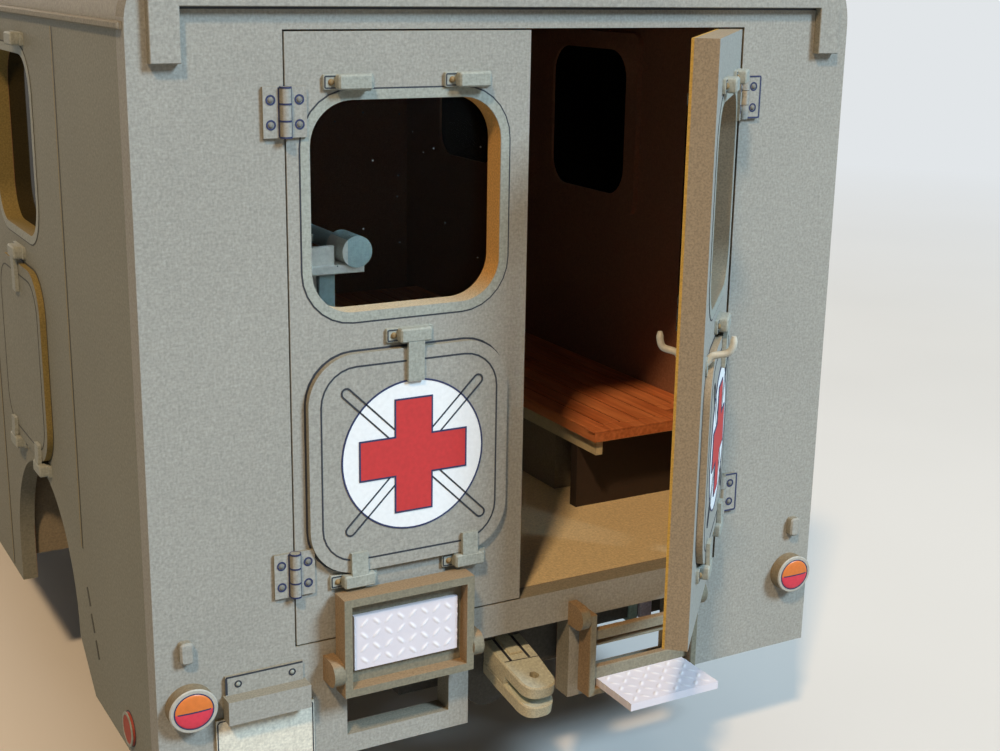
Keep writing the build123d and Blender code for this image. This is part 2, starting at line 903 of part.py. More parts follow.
def cab_form(inset):
    """Cab above its floor line, with each view drawn inward by a wall."""
    with BuildPart() as form:
        with BuildSketch(Plane.YZ.offset(-half_width)):
            with BuildLine() as side_view:
                FilletPolyline(
                    (screen_base, rise(cab_waist)),
                    (screen_head, rise(screen_top)),
                    (screen_head - visor_depth, rise(cab_roof)),
                    (y_cab, rise(cab_roof)),
                    radius=cab_wall + 1,
                )
                Polyline(
                    (y_cab, rise(cab_roof)),
                    (y_cab, below),
                    (screen_base, below),
                    (screen_base, rise(cab_waist)),
                )
            make_face(side_view.edges())
            offset(amount=-inset, kind=Kind.INTERSECTION)
        extrude(amount=body_width)
        with BuildSketch(Plane.XZ.offset(-station(overall_length))):
            with BuildLine() as front_view:
                FilletPolyline(
                    (half_width, rise(cab_waist)),
                    (cab_roof_half, rise(cab_roof)),
                    (-cab_roof_half, rise(cab_roof)),
                    (-half_width, rise(cab_waist)),
                    radius=cab_roof_radius,
                )
                Polyline(
                    (-half_width, rise(cab_waist)),
                    (-half_width, below),
                    (half_width, below),
                    (half_width, rise(cab_waist)),
                )
            make_face(front_view.edges())
            offset(amount=-inset, kind=Kind.INTERSECTION)
        extrude(amount=overall_length, mode=Mode.INTERSECT)
        with BuildSketch(Plane.XY):
            half, front, back = half_width - inset, screen_base - inset, y_cab + inset
            corner = cab_front_radius - inset
            with BuildLine() as plan:
                Polyline((-half, front - corner), (-half, back), (half, back), (half, front - corner))
                RadiusArc((half, front - corner), (half - corner, front), -corner)
                Line((half - corner, front), (-half + corner, front))
                RadiusArc((-half + corner, front), (-half, front - corner), -corner)
            make_face(plan.edges())
        extrude(amount=2 * box_height, mode=Mode.INTERSECT)
    return form.part


def ease(edges, radius, inset):
    """Outside a round, inside a plain bevel that leaves about the wall's thickness."""
    if inset:
        chamfer(edges, bevel_share * radius)
    else:
        fillet(edges, radius)


def fender_form(inset):
    """Pair of fenders as one rounded block across the vehicle, drawn inward by a wall."""
    front = y_front_axle + fender_lead - inset
    half = half_width - inset
    top = rise(fender_top) - inset
    with BuildPart() as form:
        block((-half, half), (y_front_axle, front), (below, top))
        corners = form.edges().filter_by(Axis.Z).group_by(Axis.Y)[-1]
        ease(corners, fender_round, inset)
        rim = form.faces().filter_by(Axis.Z).sort_by(Axis.Z)[-1].edges()
        back = rim.sort_by(Axis.Y)[0]
        ease([edge for edge in rim if edge != back], fender_edge, inset)
        for side in (-1, 1):
            with Locations((side * (half + well_inner) / 2, y_front_axle, z_axle)):
                Cylinder(fender_radius - inset, half - well_inner, rotation=(0, 90, 0))
    return form.part


def nose_form(inset):
    """Snub nose between the fenders, drawn inward by a wall."""
    front = y_front_axle + nose_lead - inset
    half = nose_half - inset
    back = screen_base - cab_front_radius
    with BuildPart() as form:
        with BuildSketch(Plane.YZ.offset(-half)):
            with BuildLine() as side_view:
                Polyline(
                    (back, below),
                    (back, rise(nose_top) - inset),
                    (screen_base, rise(nose_top) - inset),
                    (front, rise(nose_front_top) - inset),
                    (front, below),
                    close=True,
                )
            make_face(side_view.edges())
        extrude(amount=2 * half)
        lip = form.edges().filter_by(Axis.X).sort_by_distance((0, front, rise(nose_front_top)))[0]
        ease(lip, nose_round, inset)
        cheeks = form.faces().filter_by(Axis.X).edges()
        rounded = [
            edge for edge in cheeks
            if edge.center().Y > screen_base + inset / 2 and edge.center().Z > below + cab_wall / 2
        ]
        ease(rounded, nose_edge, inset)
    return form.part


def wheel_house(radius, inner, outer):
    """Cylinders round both front wheels, between two distances from the middle."""
    with BuildPart() as houses:
        for side in (-1, 1):
            with Locations((side * (inner + outer) / 2, y_front_axle, z_axle)):
                Cylinder(radius, outer - inner, rotation=(0, 90, 0))
    return houses.part


cab_outer = cab_form(0)
cab_inner = cab_form(cab_wall)
screen_rise = Vector(0, -screen_rake, screen_top - cab_waist).normalized()
screen_plane = Plane(
    origin=(0, screen_base, rise(cab_waist)),
    x_dir=(-1, 0, 0),
    z_dir=(0, screen_rise.Z, -screen_rise.Y),
)
pane_width = cab_roof_half - pane_margin
pane_spots = [(side * (pane_width + centre_post) / 2, pane_rise) for side in (-1, 1)]
cab_door_ends = (y_cab + cab_door_setback - cab_gap, y_front_axle + cab_door_lead)
cab_hinge_y = cab_door_ends[1] + cab_door_gap / 2
cab_hinge_x = half_width + hinge_stand
cab_hinge_places = {
    side: [
        Plane(
            origin=(side * cab_hinge_x, cab_hinge_y, rise(height)),
            x_dir=(0, side, 0),
            z_dir=(0, 0, 1),
        )
        for height in cab_hinge_rises
    ]
    for side in (-1, 1)
}


def cab_door_outline(grow):
    """Outline of a cab door on a side plane, cut by the wheel arch."""
    low, high = cab_door_rises
    rear, front = cab_door_ends
    with Locations(((rear + front) / 2, rise((low + high) / 2))):
        RectangleRounded(front - rear + 2 * grow, high - low + 2 * grow, cab_door_radius)
    with Locations((y_front_axle, z_axle)):
        Circle(fender_radius + cab_door_gap - grow, mode=Mode.SUBTRACT)


with BuildPart() as cab_shell:
    add(cab_outer)
    add(fender_form(0))
    add(nose_form(0))
    add(cab_inner, mode=Mode.SUBTRACT)
    add(fender_form(cab_wall), mode=Mode.SUBTRACT)
    add(nose_form(cab_wall), mode=Mode.SUBTRACT)
    add(wheel_house(fender_radius - cab_wall, well_inner, half_width + 1), mode=Mode.SUBTRACT)
    block(
        (-half_width - 1, half_width + 1),
        (y_cab - 1, station(overall_length)),
        (-fender_radius, rise(cab_bottom)),
        Mode.SUBTRACT,
    )
    block(
        (-tube_radius - tube_notch_gap, tube_radius + tube_notch_gap),
        (y_cab - 1, y_cab + cab_wall + 1),
        (0, z_axle + tube_radius + tube_notch_gap),
        Mode.SUBTRACT,
    )
    for side in (-1, 1):
        with BuildSketch(side_faces[side].offset(side)):
            cab_door_outline(cab_door_gap)
        extrude(amount=-side * cab_door_reach, mode=Mode.SUBTRACT)
    with BuildSketch(screen_plane.offset(cab_wall)):
        with Locations(*pane_spots):
            RectangleRounded(pane_width, pane_height, pane_radius)
    extrude(amount=-4 * cab_wall, mode=Mode.SUBTRACT)
    with BuildSketch(Plane.XZ.offset(-(y_front_axle + nose_lead))):
        for bar in range(grille_bars):
            with Locations((0, rise(grille_rise + bar * grille_pitch))):
                SlotOverall(2 * grille_half, grille_slot)
    extrude(amount=2 * cab_wall, both=True, mode=Mode.SUBTRACT)
    for side in (-1, 1):
        for place in cab_hinge_places[side]:
            add(hinge_half(place, side, (-1, 1)))
            add(hinge_pin(place, pin_radius))

with BuildPart() as cab_floor:
    edge = half_width - cab_wall - floor_clearance
    block(
        (-edge, edge),
        (y_cab + cab_wall + floor_clearance, screen_base - cab_wall - floor_clearance),
        (cab_floor_underside, cab_floor_underside + floor_board),
    )
    house = fender_radius - cab_wall - floor_clearance / 2
    add(wheel_house(house, well_inner - lining, half_width - sheet))
    add(wheel_house(house - lining, well_inner, half_width + 1), mode=Mode.SUBTRACT)
    block(
        (-half_width, half_width),
        (y_cab, station(overall_length)),
        (-fender_radius, rise(cab_bottom)),
        Mode.SUBTRACT,
    )

with BuildPart() as windscreen:
    with BuildSketch(screen_plane.offset(-cab_wall - floor_clearance)):
        with Locations(*pane_spots):
            RectangleRounded(pane_width - floor_clearance, pane_height - floor_clearance, pane_radius)
    extrude(amount=glass)


def cab_door(side):
    """Cab door and its pane, both shut."""
    low, high = cab_window_rises
    rear, front = cab_door_ends
    span = front - rear - 2 * cab_window_margin
    with BuildPart() as door:
        with BuildSketch(side_faces[side].offset(side)):
            cab_door_outline(0)
            with Locations(((rear + front) / 2, rise((low + high) / 2))):
                RectangleRounded(span, high - low, cab_window_radius, mode=Mode.SUBTRACT)
        extrude(amount=-side * cab_door_reach)
        with BuildPart(mode=Mode.INTERSECT):
            add(cab_outer)
            add(cab_inner, mode=Mode.SUBTRACT)
        for place in cab_hinge_places[side]:
            add(hinge_half(place, -side, (0,)))
            add(hinge_pin(place, pin_radius + pin_clearance), mode=Mode.SUBTRACT)
        handle_y = rear + cab_handle_setback
        with Locations((side * (half_width + sheet), handle_y, rise(cab_handle_rise))):
            Cylinder(2 * handle_radius, 2 * sheet, rotation=(0, 90, 0))
        block(
            sorted((side * (half_width + 2 * sheet), side * (half_width + 3 * sheet))),
            (handle_y - handle_radius, handle_y + cab_handle_length),
            (rise(cab_handle_rise) - handle_radius, rise(cab_handle_rise) + handle_radius),
        )
    with BuildPart() as pane:
        with BuildSketch(side_faces[side].offset(side)):
            with Locations(((rear + front) / 2, rise((low + high) / 2))):
                RectangleRounded(
                    span - floor_clearance,
                    high - low - floor_clearance,
                    cab_window_radius,
                )
        extrude(amount=-side * cab_door_reach)
        add(cab_form(cab_wall - glass), mode=Mode.INTERSECT)
        add(cab_inner, mode=Mode.SUBTRACT)
    return door, pane


cab_door_left, cab_glass_left = cab_door(-1)
cab_door_right, cab_glass_right = cab_door(1)

with BuildPart() as mirrors:
    foot_x = half_width + mirror_arm_radius
    foot = Vector(foot_x, y_front_axle + mirror_lead, rise(mirror_foot_rise))
    tip = foot + Vector(mirror_reach, mirror_lead, mirror_rise - mirror_foot_rise)
    with BuildSketch(Plane(origin=foot, z_dir=tip - foot)):
        Circle(mirror_arm_radius)
    extrude(amount=(tip - foot).length)
    with Locations(tip):
        Cylinder(mirror_radius, mirror_thickness, rotation=(90, 0, 0))
    with BuildSketch(Plane.YZ.offset(half_width)):
        with Locations((foot.Y, foot.Z)):
            Circle(2 * mirror_arm_radius)
    extrude(amount=2 * mirror_arm_radius)
    mirror(about=Plane.YZ)

with BuildPart() as bumper:
    block(
        (-half_width + bumper_inset, half_width - bumper_inset),
        (y_front_axle + nose_lead, y_front_axle + front_overhang),
        (rise(bumper_rise), rise(bumper_rise + bumper_height)),
    )
    ends = bumper.edges().filter_by(Axis.Z).group_by(Axis.Y)[-1]
    fillet(ends, bumper_round)

with BuildPart() as headlamps:
    for side in (-1, 1):
        lamp_front = y_front_axle + fender_lead + headlamp_depth
        lamp_place = Plane(
            origin=(side * (half_width - headlamp_margin), lamp_front, rise(headlamp_rise)),
            x_dir=(1, 0, 0),
            z_dir=(0, 1, 0),
        )
        with BuildSketch(lamp_place):
            Circle(headlamp_radius)
        extrude(amount=-headlamp_depth)
        with BuildSketch(lamp_place):
            Circle(headlamp_glass)
        extrude(amount=-headlamp_dish, mode=Mode.SUBTRACT)

with BuildPart() as engine_block:
    engine_y = y_front_axle + engine_tail
    block(
        (-engine_size[0] / 2, engine_size[0] / 2),
        (engine_y, engine_y + engine_size[1]),
        (rise(cab_floor_rise), rise(cab_floor_rise) + engine_size[2]),
    )

with BuildPart() as cab_seats:
    back_y = y_cab + seat_setback
    for side in (-1, 1):
        width = sorted((side * seat_inner, side * (seat_inner + seat_width)))
        floor = rise(cab_floor_rise)
        block(width, (back_y, y_front_axle + seat_lead), (floor, floor + seat_height))
        block(width, (back_y, back_y + seat_back), (floor, floor + seat_back_height))

with BuildPart() as dashboard:
    dash_half = half_width - dash_inset
    dash_top = rise(cab_waist - dash_drop)
    dash_y = y_front_axle + dash_lead
    block((-dash_half, dash_half), (dash_y, dash_y + dash_face), (dash_top - dash_height, dash_top))
    block((-dash_half, dash_half), (dash_y, dash_y + dash_depth), (dash_top - dash_shelf, dash_top))

column_lean = radians(steering_lean)
steering_spot = Plane(
    origin=(steering_inset - well_inner, y_front_axle + steering_lead, rise(steering_rise)),
    x_dir=(1, 0, 0),
    z_dir=(0, -sin(column_lean), cos(column_lean)),
)
column_length = (steering_rise - cab_floor_rise - column_radius) / cos(column_lean)
with BuildPart() as steering_wheel:
    with BuildSketch(steering_spot):
        Circle(steering_radius)
        Circle(steering_radius - steering_bar, mode=Mode.SUBTRACT)
        Rectangle(2 * steering_radius - steering_bar, steering_bar)
    extrude(amount=steering_bar)
    with BuildSketch(steering_spot.offset(steering_bar)):
        Circle(column_radius)
    extrude(amount=-column_length - steering_bar)

# Inside
bench_inner = inner_half - bench_depth
bench_ends = (station(bench_station), y_bulkhead - bench_front_gap)
with BuildPart() as bench:
    slab = (rise(bench_top - bench_thickness), rise(bench_top))
    block((bench_inner, inner_half), bench_ends, slab)
    pitch = bench_depth / bench_slats
    for slat in range(1, bench_slats):
        middle = bench_inner + slat * pitch
        block(
            (middle - slat_groove / 2, middle + slat_groove / 2),
            (bench_ends[0] + bench_border, bench_ends[1] - bench_border),
            (rise(bench_top - slat_groove), rise(bench_top)),
            Mode.SUBTRACT,
        )
    block(
        (inner_half - bench_notch[0], inner_half),
        (bench_ends[0], bench_ends[0] + bench_notch[1]),
        slab,
        Mode.SUBTRACT,
    )

with BuildPart() as bench_frame:
    leg_top = rise(bench_top - bench_thickness)
    first = bench_ends[0] + bench_notch[1] + bench_leg_inset
    last = bench_ends[1] - bench_leg_inset
    legs = (bench_inner + bench_leg_inset, inner_half)
    for low, high in ((first, first + bench_leg), (last - bench_leg, last)):
        block(legs, (low, high), (floor_top, leg_top))
    block(
        (legs[0], legs[0] + bench_panel),
        (bench_ends[0] + bench_leg_inset, last),
        (leg_top - bench_rail, leg_top),
    )

stretcher_x = -(inner_half - stretcher_gap - stretcher_width / 2)
stretcher_rear = station(stretcher_station)
with BuildPart() as stretcher:
    rail = stretcher_width / 2 - pole_radius
    pole_y = stretcher_rear + stretcher_length / 2
    grip_y = (stretcher_length - grip_length) / 2
    for end in (-1, 1):
        with Locations((stretcher_x + end * rail, pole_y, rise(stretcher_rise))):
            Cylinder(pole_radius, stretcher_length, rotation=(90, 0, 0))
        for tip in (-1, 1):
            with Locations((stretcher_x + end * rail, pole_y + tip * grip_y, rise(stretcher_rise))):
                Cylinder(grip_radius, grip_length, rotation=(90, 0, 0))
    canvas_y = (stretcher_rear + canvas_setback, stretcher_rear + stretcher_length - canvas_setback)
    middle = rise(stretcher_rise)
    block(
        (stretcher_x - rail, stretcher_x + rail),
        canvas_y,
        (middle - canvas_thickness / 2, middle + canvas_thickness / 2),
    )

with BuildPart() as stretcher_rack:
    rack_top = rise(stretcher_rise) - pole_radius
    reach = stretcher_x + stretcher_width / 2
    for offset_y in rack_offsets:
        ends = (stretcher_rear + offset_y, stretcher_rear + offset_y + rack_arm)
        block((-inner_half, reach), ends, (rack_top - rack_arm, rack_top))
        block((reach - 2 * rack_arm, reach - rack_arm), ends, (floor_top, rack_top - rack_arm))

# Right rear door and what it carries, turned open about its hinge pins
door_axis = Axis((hinge_x, y_rear - hinge_stand, 0), (0, 0, 1))
pieces = {
    "rear_panel": rear_panel.part,
    "side_left": side_panel(-1).part,
    "side_right": side_panel(1).part,
    "box_roof": box_roof.part,
    "front_bulkhead": front_bulkhead.part,
    "box_floor": box_floor.part,
    "rear_wheel_wells": rear_wheel_wells.part,
    "gutters": gutters.part,
    "side_glass": twins["side_glass"].part,
    "side_shutters": twins["side_shutters"].part,
    "side_clips": twins["side_clips"].part,
    "rear_door_left": rear_door_left.part,
    "door_glass_left": door_glass_left.part,
    "door_shutter_left": door_shutter_left.part,
    "door_clips_left": door_clips_left.part,
    "rear_door_right": rear_door_right.part.rotate(door_axis, door_open),
    "door_glass_right": door_glass_right.part.rotate(door_axis, door_open),
    "door_shutter_right": door_shutter_right.part.rotate(door_axis, door_open),
    "door_clips_right": door_clips_right.part.rotate(door_axis, door_open),
    "door_handle": door_handle.part.rotate(door_axis, door_open),
    "door_hinges": door_hinges.part,
    "tail_lamps": tail_lamps.part,
    "tail_lenses": tail_lenses.part,
    "marker_blocks": marker_blocks.part,
    "plate_holder": plate_holder.part,
    "number_plate": number_plate.part,
    "side_reflectors": side_reflectors.part,
    "step_left": step_left.part,
    "step_right": step_right.part,
    "step_treads": step_treads.part,
    "chassis_tube": chassis_tube.part,
    "tow_hook": tow_hook.part,
    "rear_axle": rear_axle.part,
    "front_axle": front_axle.part,
    "engine_block": engine_block.part,
    "cab_shell": cab_shell.part,
    "cab_floor": cab_floor.part,
    "windscreen": windscreen.part,
    "cab_door_left": cab_door_left.part,
    "cab_glass_left": cab_glass_left.part,
    "cab_door_right": cab_door_right.part,
    "cab_glass_right": cab_glass_right.part,
    "mirrors": mirrors.part,
    "cab_seats": cab_seats.part,
    "dashboard": dashboard.part,
    "steering_wheel": steering_wheel.part,
    "bumper": bumper.part,
    "headlamps": headlamps.part,
    "bench": bench.part,
    "bench_frame": bench_frame.part,
    "stretcher": stretcher.part,
    "stretcher_rack": stretcher_rack.part,
}
for place, (tyre, rim) in wheels.items():
    pieces[f"tyre_{place}"] = tyre.part
    pieces[f"rim_{place}"] = rim.part

for node, piece in pieces.items():
    piece.label = node
    export_step(piece, f"parts/{node}.step")
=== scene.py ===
# %% [markdown]
# A field ambulance truck, folded and glued from printed card.
# The fixed frame holds every solid of the model in its real place. This lesson dresses
# those solids: card with a linen print and ochre cut edges, hinges, clips, lamps, treads
# and tyres. Each new surface is worked out with numpy as a few whole arrays.

# %% Load the fixed frame
from math import cos, pi, radians, sin

import bpy
import numpy as np
from mathutils import Matrix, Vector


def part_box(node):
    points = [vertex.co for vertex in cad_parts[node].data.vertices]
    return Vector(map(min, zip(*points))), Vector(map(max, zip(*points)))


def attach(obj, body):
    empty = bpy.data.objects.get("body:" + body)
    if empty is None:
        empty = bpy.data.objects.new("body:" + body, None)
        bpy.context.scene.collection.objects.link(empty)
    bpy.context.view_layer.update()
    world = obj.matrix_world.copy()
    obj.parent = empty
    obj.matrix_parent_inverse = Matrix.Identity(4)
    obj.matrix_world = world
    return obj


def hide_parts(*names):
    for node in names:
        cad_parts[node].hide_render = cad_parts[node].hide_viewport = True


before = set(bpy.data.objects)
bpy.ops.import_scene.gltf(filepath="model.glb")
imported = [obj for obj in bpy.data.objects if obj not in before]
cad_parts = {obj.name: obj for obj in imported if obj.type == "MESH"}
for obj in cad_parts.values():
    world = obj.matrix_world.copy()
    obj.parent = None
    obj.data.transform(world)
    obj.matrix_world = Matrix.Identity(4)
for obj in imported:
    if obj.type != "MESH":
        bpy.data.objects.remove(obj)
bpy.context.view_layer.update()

# %% [markdown]
# All numbers below are millimetres of the card model, because a card builder thinks in
# them. They are made metres only when a mesh is stored. The main places are read from the
# solids, so a panel moved there moves its fittings here.

# %% Main places of the vehicle
MM = 0.001


def low_corner(node):
    """Lowest corner of a solid, in millimetres."""
    return np.array(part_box(node)[0]) / MM


def high_corner(node):
    """Highest corner of a solid, in millimetres."""
    return np.array(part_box(node)[1]) / MM


half_width, y_inner, roof_top = high_corner("rear_panel")
y_rear, skirt = low_corner("rear_panel")[1:]
y_bulkhead = low_corner("front_bulkhead")[1]
y_box = high_corner("front_bulkhead")[1]
inner_half = low_corner("side_right")[0]
y_nose = high_corner("cab_shell")[1]
print("rear face", round(y_rear, 2), "half width", round(half_width, 2), "roof", round(roof_top, 2))

# %% [markdown]
# Flat fittings are drawn on a wall, as on the printed sheet: u runs across the wall, v up
# from the ground and w out of the wall. A Place holds those three directions.


# %% Places to draw on
class Place:
    """Origin and three directions; out is across turned a quarter towards the viewer."""

    def __init__(self, origin, across, up=(0, 0, 1)):
        self.origin = np.array(origin, float)
        self.across = np.array(across, float)
        self.up = np.array(up, float)
        self.out = np.cross(self.across, self.up)

    def at(self, u, v, w):
        """Points: origin + u across + v up + w out, for numbers or arrays."""
        u, v, w = np.broadcast_arrays(u, v, w)
        steps = u[..., None] * self.across + v[..., None] * self.up + w[..., None] * self.out
        return self.origin + steps

    def ring(self, loop, height):
        """A flat loop of points held at one height over the sheet."""
        return self.at(loop[:, 0], loop[:, 1], height)


door_open = radians(47.5)
hinge_x, hinge_stand = 22.1, 0.45
turn = np.array([[cos(door_open), -sin(door_open)], [sin(door_open), cos(door_open)]])
pin = np.array([hinge_x, y_rear - hinge_stand])
opened = pin + turn @ (np.array([0, y_rear]) - pin)

rear_wall = Place((0, y_rear, 0), (1, 0, 0))
right_leaf = Place((*opened, 0), (cos(door_open), sin(door_open), 0))
left_wall = Place((-half_width, 0, 0), (0, -1, 0))
right_wall = Place((half_width, 0, 0), (0, 1, 0))
side_walls = ((left_wall, -1), (right_wall, 1))
floor_up = Place((0, 0, 0), (1, 0, 0), (0, 1, 0))
print("right leaf starts at", opened.round(2))

# %% [markdown]
# A finish is a tree of shader nodes. Naming each node and its links by hand is long, so a
# small class gives them short words: a noise, a ramp, a mix of two colours.


# %% Helpers for finishes
def colour(red, green, blue):
    """Screen colour of 0 to 255 as the linear colour that a shader takes."""
    screen = np.array([red, green, blue]) / 255
    linear = np.where(screen <= 0.04045, screen / 12.92, ((screen + 0.055) / 1.055) ** 2.4)
    return (*linear.tolist(), 1.0)


class Finish:
    """A material and short words for adding nodes to it."""

    def __init__(self, name, roughness=0.75, **sockets):
        self.material = bpy.data.materials.new(name)
        self.material.use_nodes = True
        self.tree = self.material.node_tree
        self.shader = self.tree.nodes["Principled BSDF"]
        self.shader.inputs["Roughness"].default_value = roughness
        for socket, value in sockets.items():
            self.shader.inputs[socket.replace("_", " ")].default_value = value

    def feed(self, socket, value):
        """Links another node's socket to this one, or sets it to a number or colour."""
        if isinstance(value, bpy.types.NodeSocket):
            self.tree.links.new(value, socket)
        else:
            socket.default_value = value

    def node(self, kind, inputs=None, **settings):
        made = self.tree.nodes.new(kind)
        for key, value in settings.items():
            setattr(made, key, value)
        for key, value in (inputs or {}).items():
            self.feed(made.inputs[key], value)
        return made

    def object_point(self):
        return self.node("ShaderNodeTexCoord").outputs["Object"]

    def normal(self):
        return self.node("ShaderNodeTexCoord").outputs["Normal"]

    def part(self, vector, axis):
        """One coordinate of a point or direction: 0 across, 1 ahead, 2 up."""
        return self.node("ShaderNodeSeparateXYZ", {"Vector": vector}).outputs[axis]

    def dot(self, vector, other):
        """Dot product: how far a vector reaches along another one."""
        made = self.node("ShaderNodeVectorMath", {0: vector, 1: other}, operation="DOT_PRODUCT")
        return made.outputs["Value"]

    def noise(self, point, scale, stretch=(1, 1, 1), detail=2.0):
        """Noise whose cells are 1/scale metres, drawn out where stretch is small."""
        mapped = self.node("ShaderNodeMapping", {"Vector": point, "Scale": stretch})
        cells = {"Vector": mapped.outputs["Vector"], "Scale": scale, "Detail": detail}
        return self.node("ShaderNodeTexNoise", cells).outputs["Fac"]

    def math(self, operation, first, second=0.0):
        made = self.node("ShaderNodeMath", {0: first, 1: second}, operation=operation)
        return made.outputs["Value"]

    def times(self, first, *others):
        """Product of all the values."""
        for other in others:
            first = self.math("MULTIPLY", first, other)
        return first

    def ramp(self, value, low, high, to_low=0.0, to_high=1.0):
        """Straight ramp of a value, held at both ends."""
        ends = {"From Min": low, "From Max": high, "To Min": to_low, "To Max": to_high}
        return self.node("ShaderNodeMapRange", {"Value": value, **ends}).outputs["Result"]

    def mix(self, factor, first, second, blend="MIX"):
        """Colour between two colours, by a factor from 0 to 1."""
        inputs = {0: factor, 6: first, 7: second}
        made = self.node("ShaderNodeMix", inputs, data_type="RGBA", blend_type=blend)
        return made.outputs[2]

    def shade(self, paint, tone):
        """Colour times a brightness."""
        grey = self.node("ShaderNodeCombineColor", {"Red": tone, "Green": tone, "Blue": tone})
        return self.mix(1.0, paint, grey.outputs["Color"], "MULTIPLY")

    def close(self, paint, height=None, strength=0.2):
        """Joins the colour and a bump of a few hundredths of a millimetre to the shader."""
        self.feed(self.shader.inputs["Base Color"], paint)
        if height is not None:
            relief = {"Height": height, "Strength": strength, "Distance": 0.04 * MM}
            bump = self.node("ShaderNodeBump", relief)
            self.feed(self.shader.inputs["Normal"], bump.outputs["Normal"])
        return self.material


print("finish helpers are ready")

# %% [markdown]
# Printed card has a fine linen grain, cloudy patches a finger wide and an ochre core that
# shows wherever a knife has cut across the sheet. One recipe gives all three: two noises
# stretched across each other make the threads, a wide noise makes the clouds, and the
# object normal tells a cut edge from the face of the sheet.

# %% Linen card with ochre cut edges
khaki = (158, 156, 147)
# The sides take a darker copy of the rear khaki: painted shade for the weaker light on them.
shaded_side_khaki = (136, 135, 121)
shade_khaki = (140, 134, 118)
ochre = (190, 148, 66)
olive_edge = (134, 116, 66)
taupe = (150, 106, 80)
fine_thread, long_thread = 6400, 2100
face_cosine, edge_cosine = 0.75, 0.55


def linen(finish, point):
    """Threads: the mean of two noises, one drawn out upward and one sideways."""
    upright = finish.noise(point, 1.0, (fine_thread, fine_thread, long_thread))
    level = finish.noise(point, 1.0, (long_thread, long_thread, fine_thread))
    return finish.times(finish.math("ADD", upright, level), 0.5)


def print_tone(finish, point, threads):
    """Brightness of the print: threads times fine grain times wide clouds."""
    grain = finish.noise(point, 4300.0)
    clouds = finish.noise(point, 60.0, detail=3.0)
    return finish.times(
        finish.ramp(threads, 0.36, 0.64, 0.9, 1.08),
        finish.ramp(grain, 0.3, 0.7, 0.86, 1.12),
        finish.ramp(clouds, 0.3, 0.7, 0.965, 1.035),
    )


def load_space_mask(finish, point):
    """1 on faces inside the load space that look to its middle, 0 elsewhere."""
    slack = 0.03
    across = finish.math("ABSOLUTE", finish.part(point, 0))
    within = finish.math("LESS_THAN", across, (inner_half + slack) * MM)
    ahead = finish.math("GREATER_THAN", finish.part(point, 1), (y_inner - slack) * MM)
    behind = finish.math("LESS_THAN", finish.part(point, 1), (y_bulkhead + slack) * MM)
    middle = tuple(MM * part for part in (0.0, (y_inner + y_bulkhead) / 2, 50.0))
    toward = finish.node("ShaderNodeVectorMath", {0: middle, 1: point}, operation="SUBTRACT")
    facing = finish.dot(finish.normal(), toward.outputs["Vector"])
    return finish.times(within, ahead, behind, finish.math("GREATER_THAN", facing, 0.0))


def card(name, face, edge=(132, 122, 100), sheet=(0, 1, 0), inside=None, rim=None, lip=None,
         painted_top_light=None):
    """Printed card: face colour times threads and grain, edge colour where the normal
    leaves the sheet's own direction (told by the cosine of the angle between them), and
    an inner colour within the load space. A rim
    keeps the edge colour to one band of an axis, a lip is the depth past which a cut edge
    shows its bare ochre core, and the last argument is a paler colour for cut edges that
    look up: a painted highlight of the light from above."""
    finish = Finish(name, 0.72, Specular_IOR_Level=0.3)
    point = finish.object_point()
    threads = linen(finish, point)
    tone = print_tone(finish, point, threads)
    paint = finish.shade(colour(*face), tone)
    if sheet is not None:
        normal = finish.normal()
        flat = finish.math("ABSOLUTE", finish.dot(normal, sheet))
        cut = finish.ramp(flat, face_cosine, edge_cosine)
        if rim is not None:
            axis, centre, limit = rim
            away = finish.math("SUBTRACT", finish.part(point, axis), centre * MM)
            near = finish.math("LESS_THAN", finish.math("ABSOLUTE", away), limit * MM)
            cut = finish.times(cut, near)
        core = colour(*edge)
        if lip is not None:
            bare = finish.ramp(finish.dot(point, sheet), (lip + 0.06) * MM, lip * MM)
            core = finish.mix(bare, core, colour(*ochre))
        # Cut edges that look up take a paler colour: a painted highlight of light from above.
        if painted_top_light is not None:
            upward = finish.ramp(finish.part(normal, 2), 0.4, 0.9)
            core = finish.mix(upward, core, colour(*painted_top_light))
        worn = finish.ramp(finish.noise(point, 6200.0), 0.34, 0.66, 0.82, 1.16)
        paint = finish.mix(cut, paint, finish.shade(core, worn))
    if inside is not None:
        lined = finish.shade(colour(*inside), tone)
        paint = finish.mix(load_space_mask(finish, point), paint, lined)
    return finish.close(paint, threads, 0.16)


leaf_normal = tuple(right_leaf.out)
leaf_depth = float(right_leaf.origin @ right_leaf.out)
leaf_rim, side_rim = (0, -11.45, 9.5), (2, 62.4, 9.6)
wall_rim = (0, 0.0, half_width - 0.05)
card_rear = card("card_rear", khaki, shade_khaki, inside=taupe, rim=wall_rim)
card_front = card("card_front", khaki, shade_khaki, inside=taupe, rim=wall_rim)
# The door's upward cut edges, such as the foot of its window reveal, are painted paler: painted
# highlight.
card_leaf = card("card_leaf", khaki, (204, 156, 90), rim=leaf_rim, painted_top_light=(196, 180, 150))
card_leaf_open = card("card_leaf_open", khaki, (154, 138, 114), leaf_normal, lip=leaf_depth - 2.0)
card_part = card("card_part", khaki, shade_khaki)
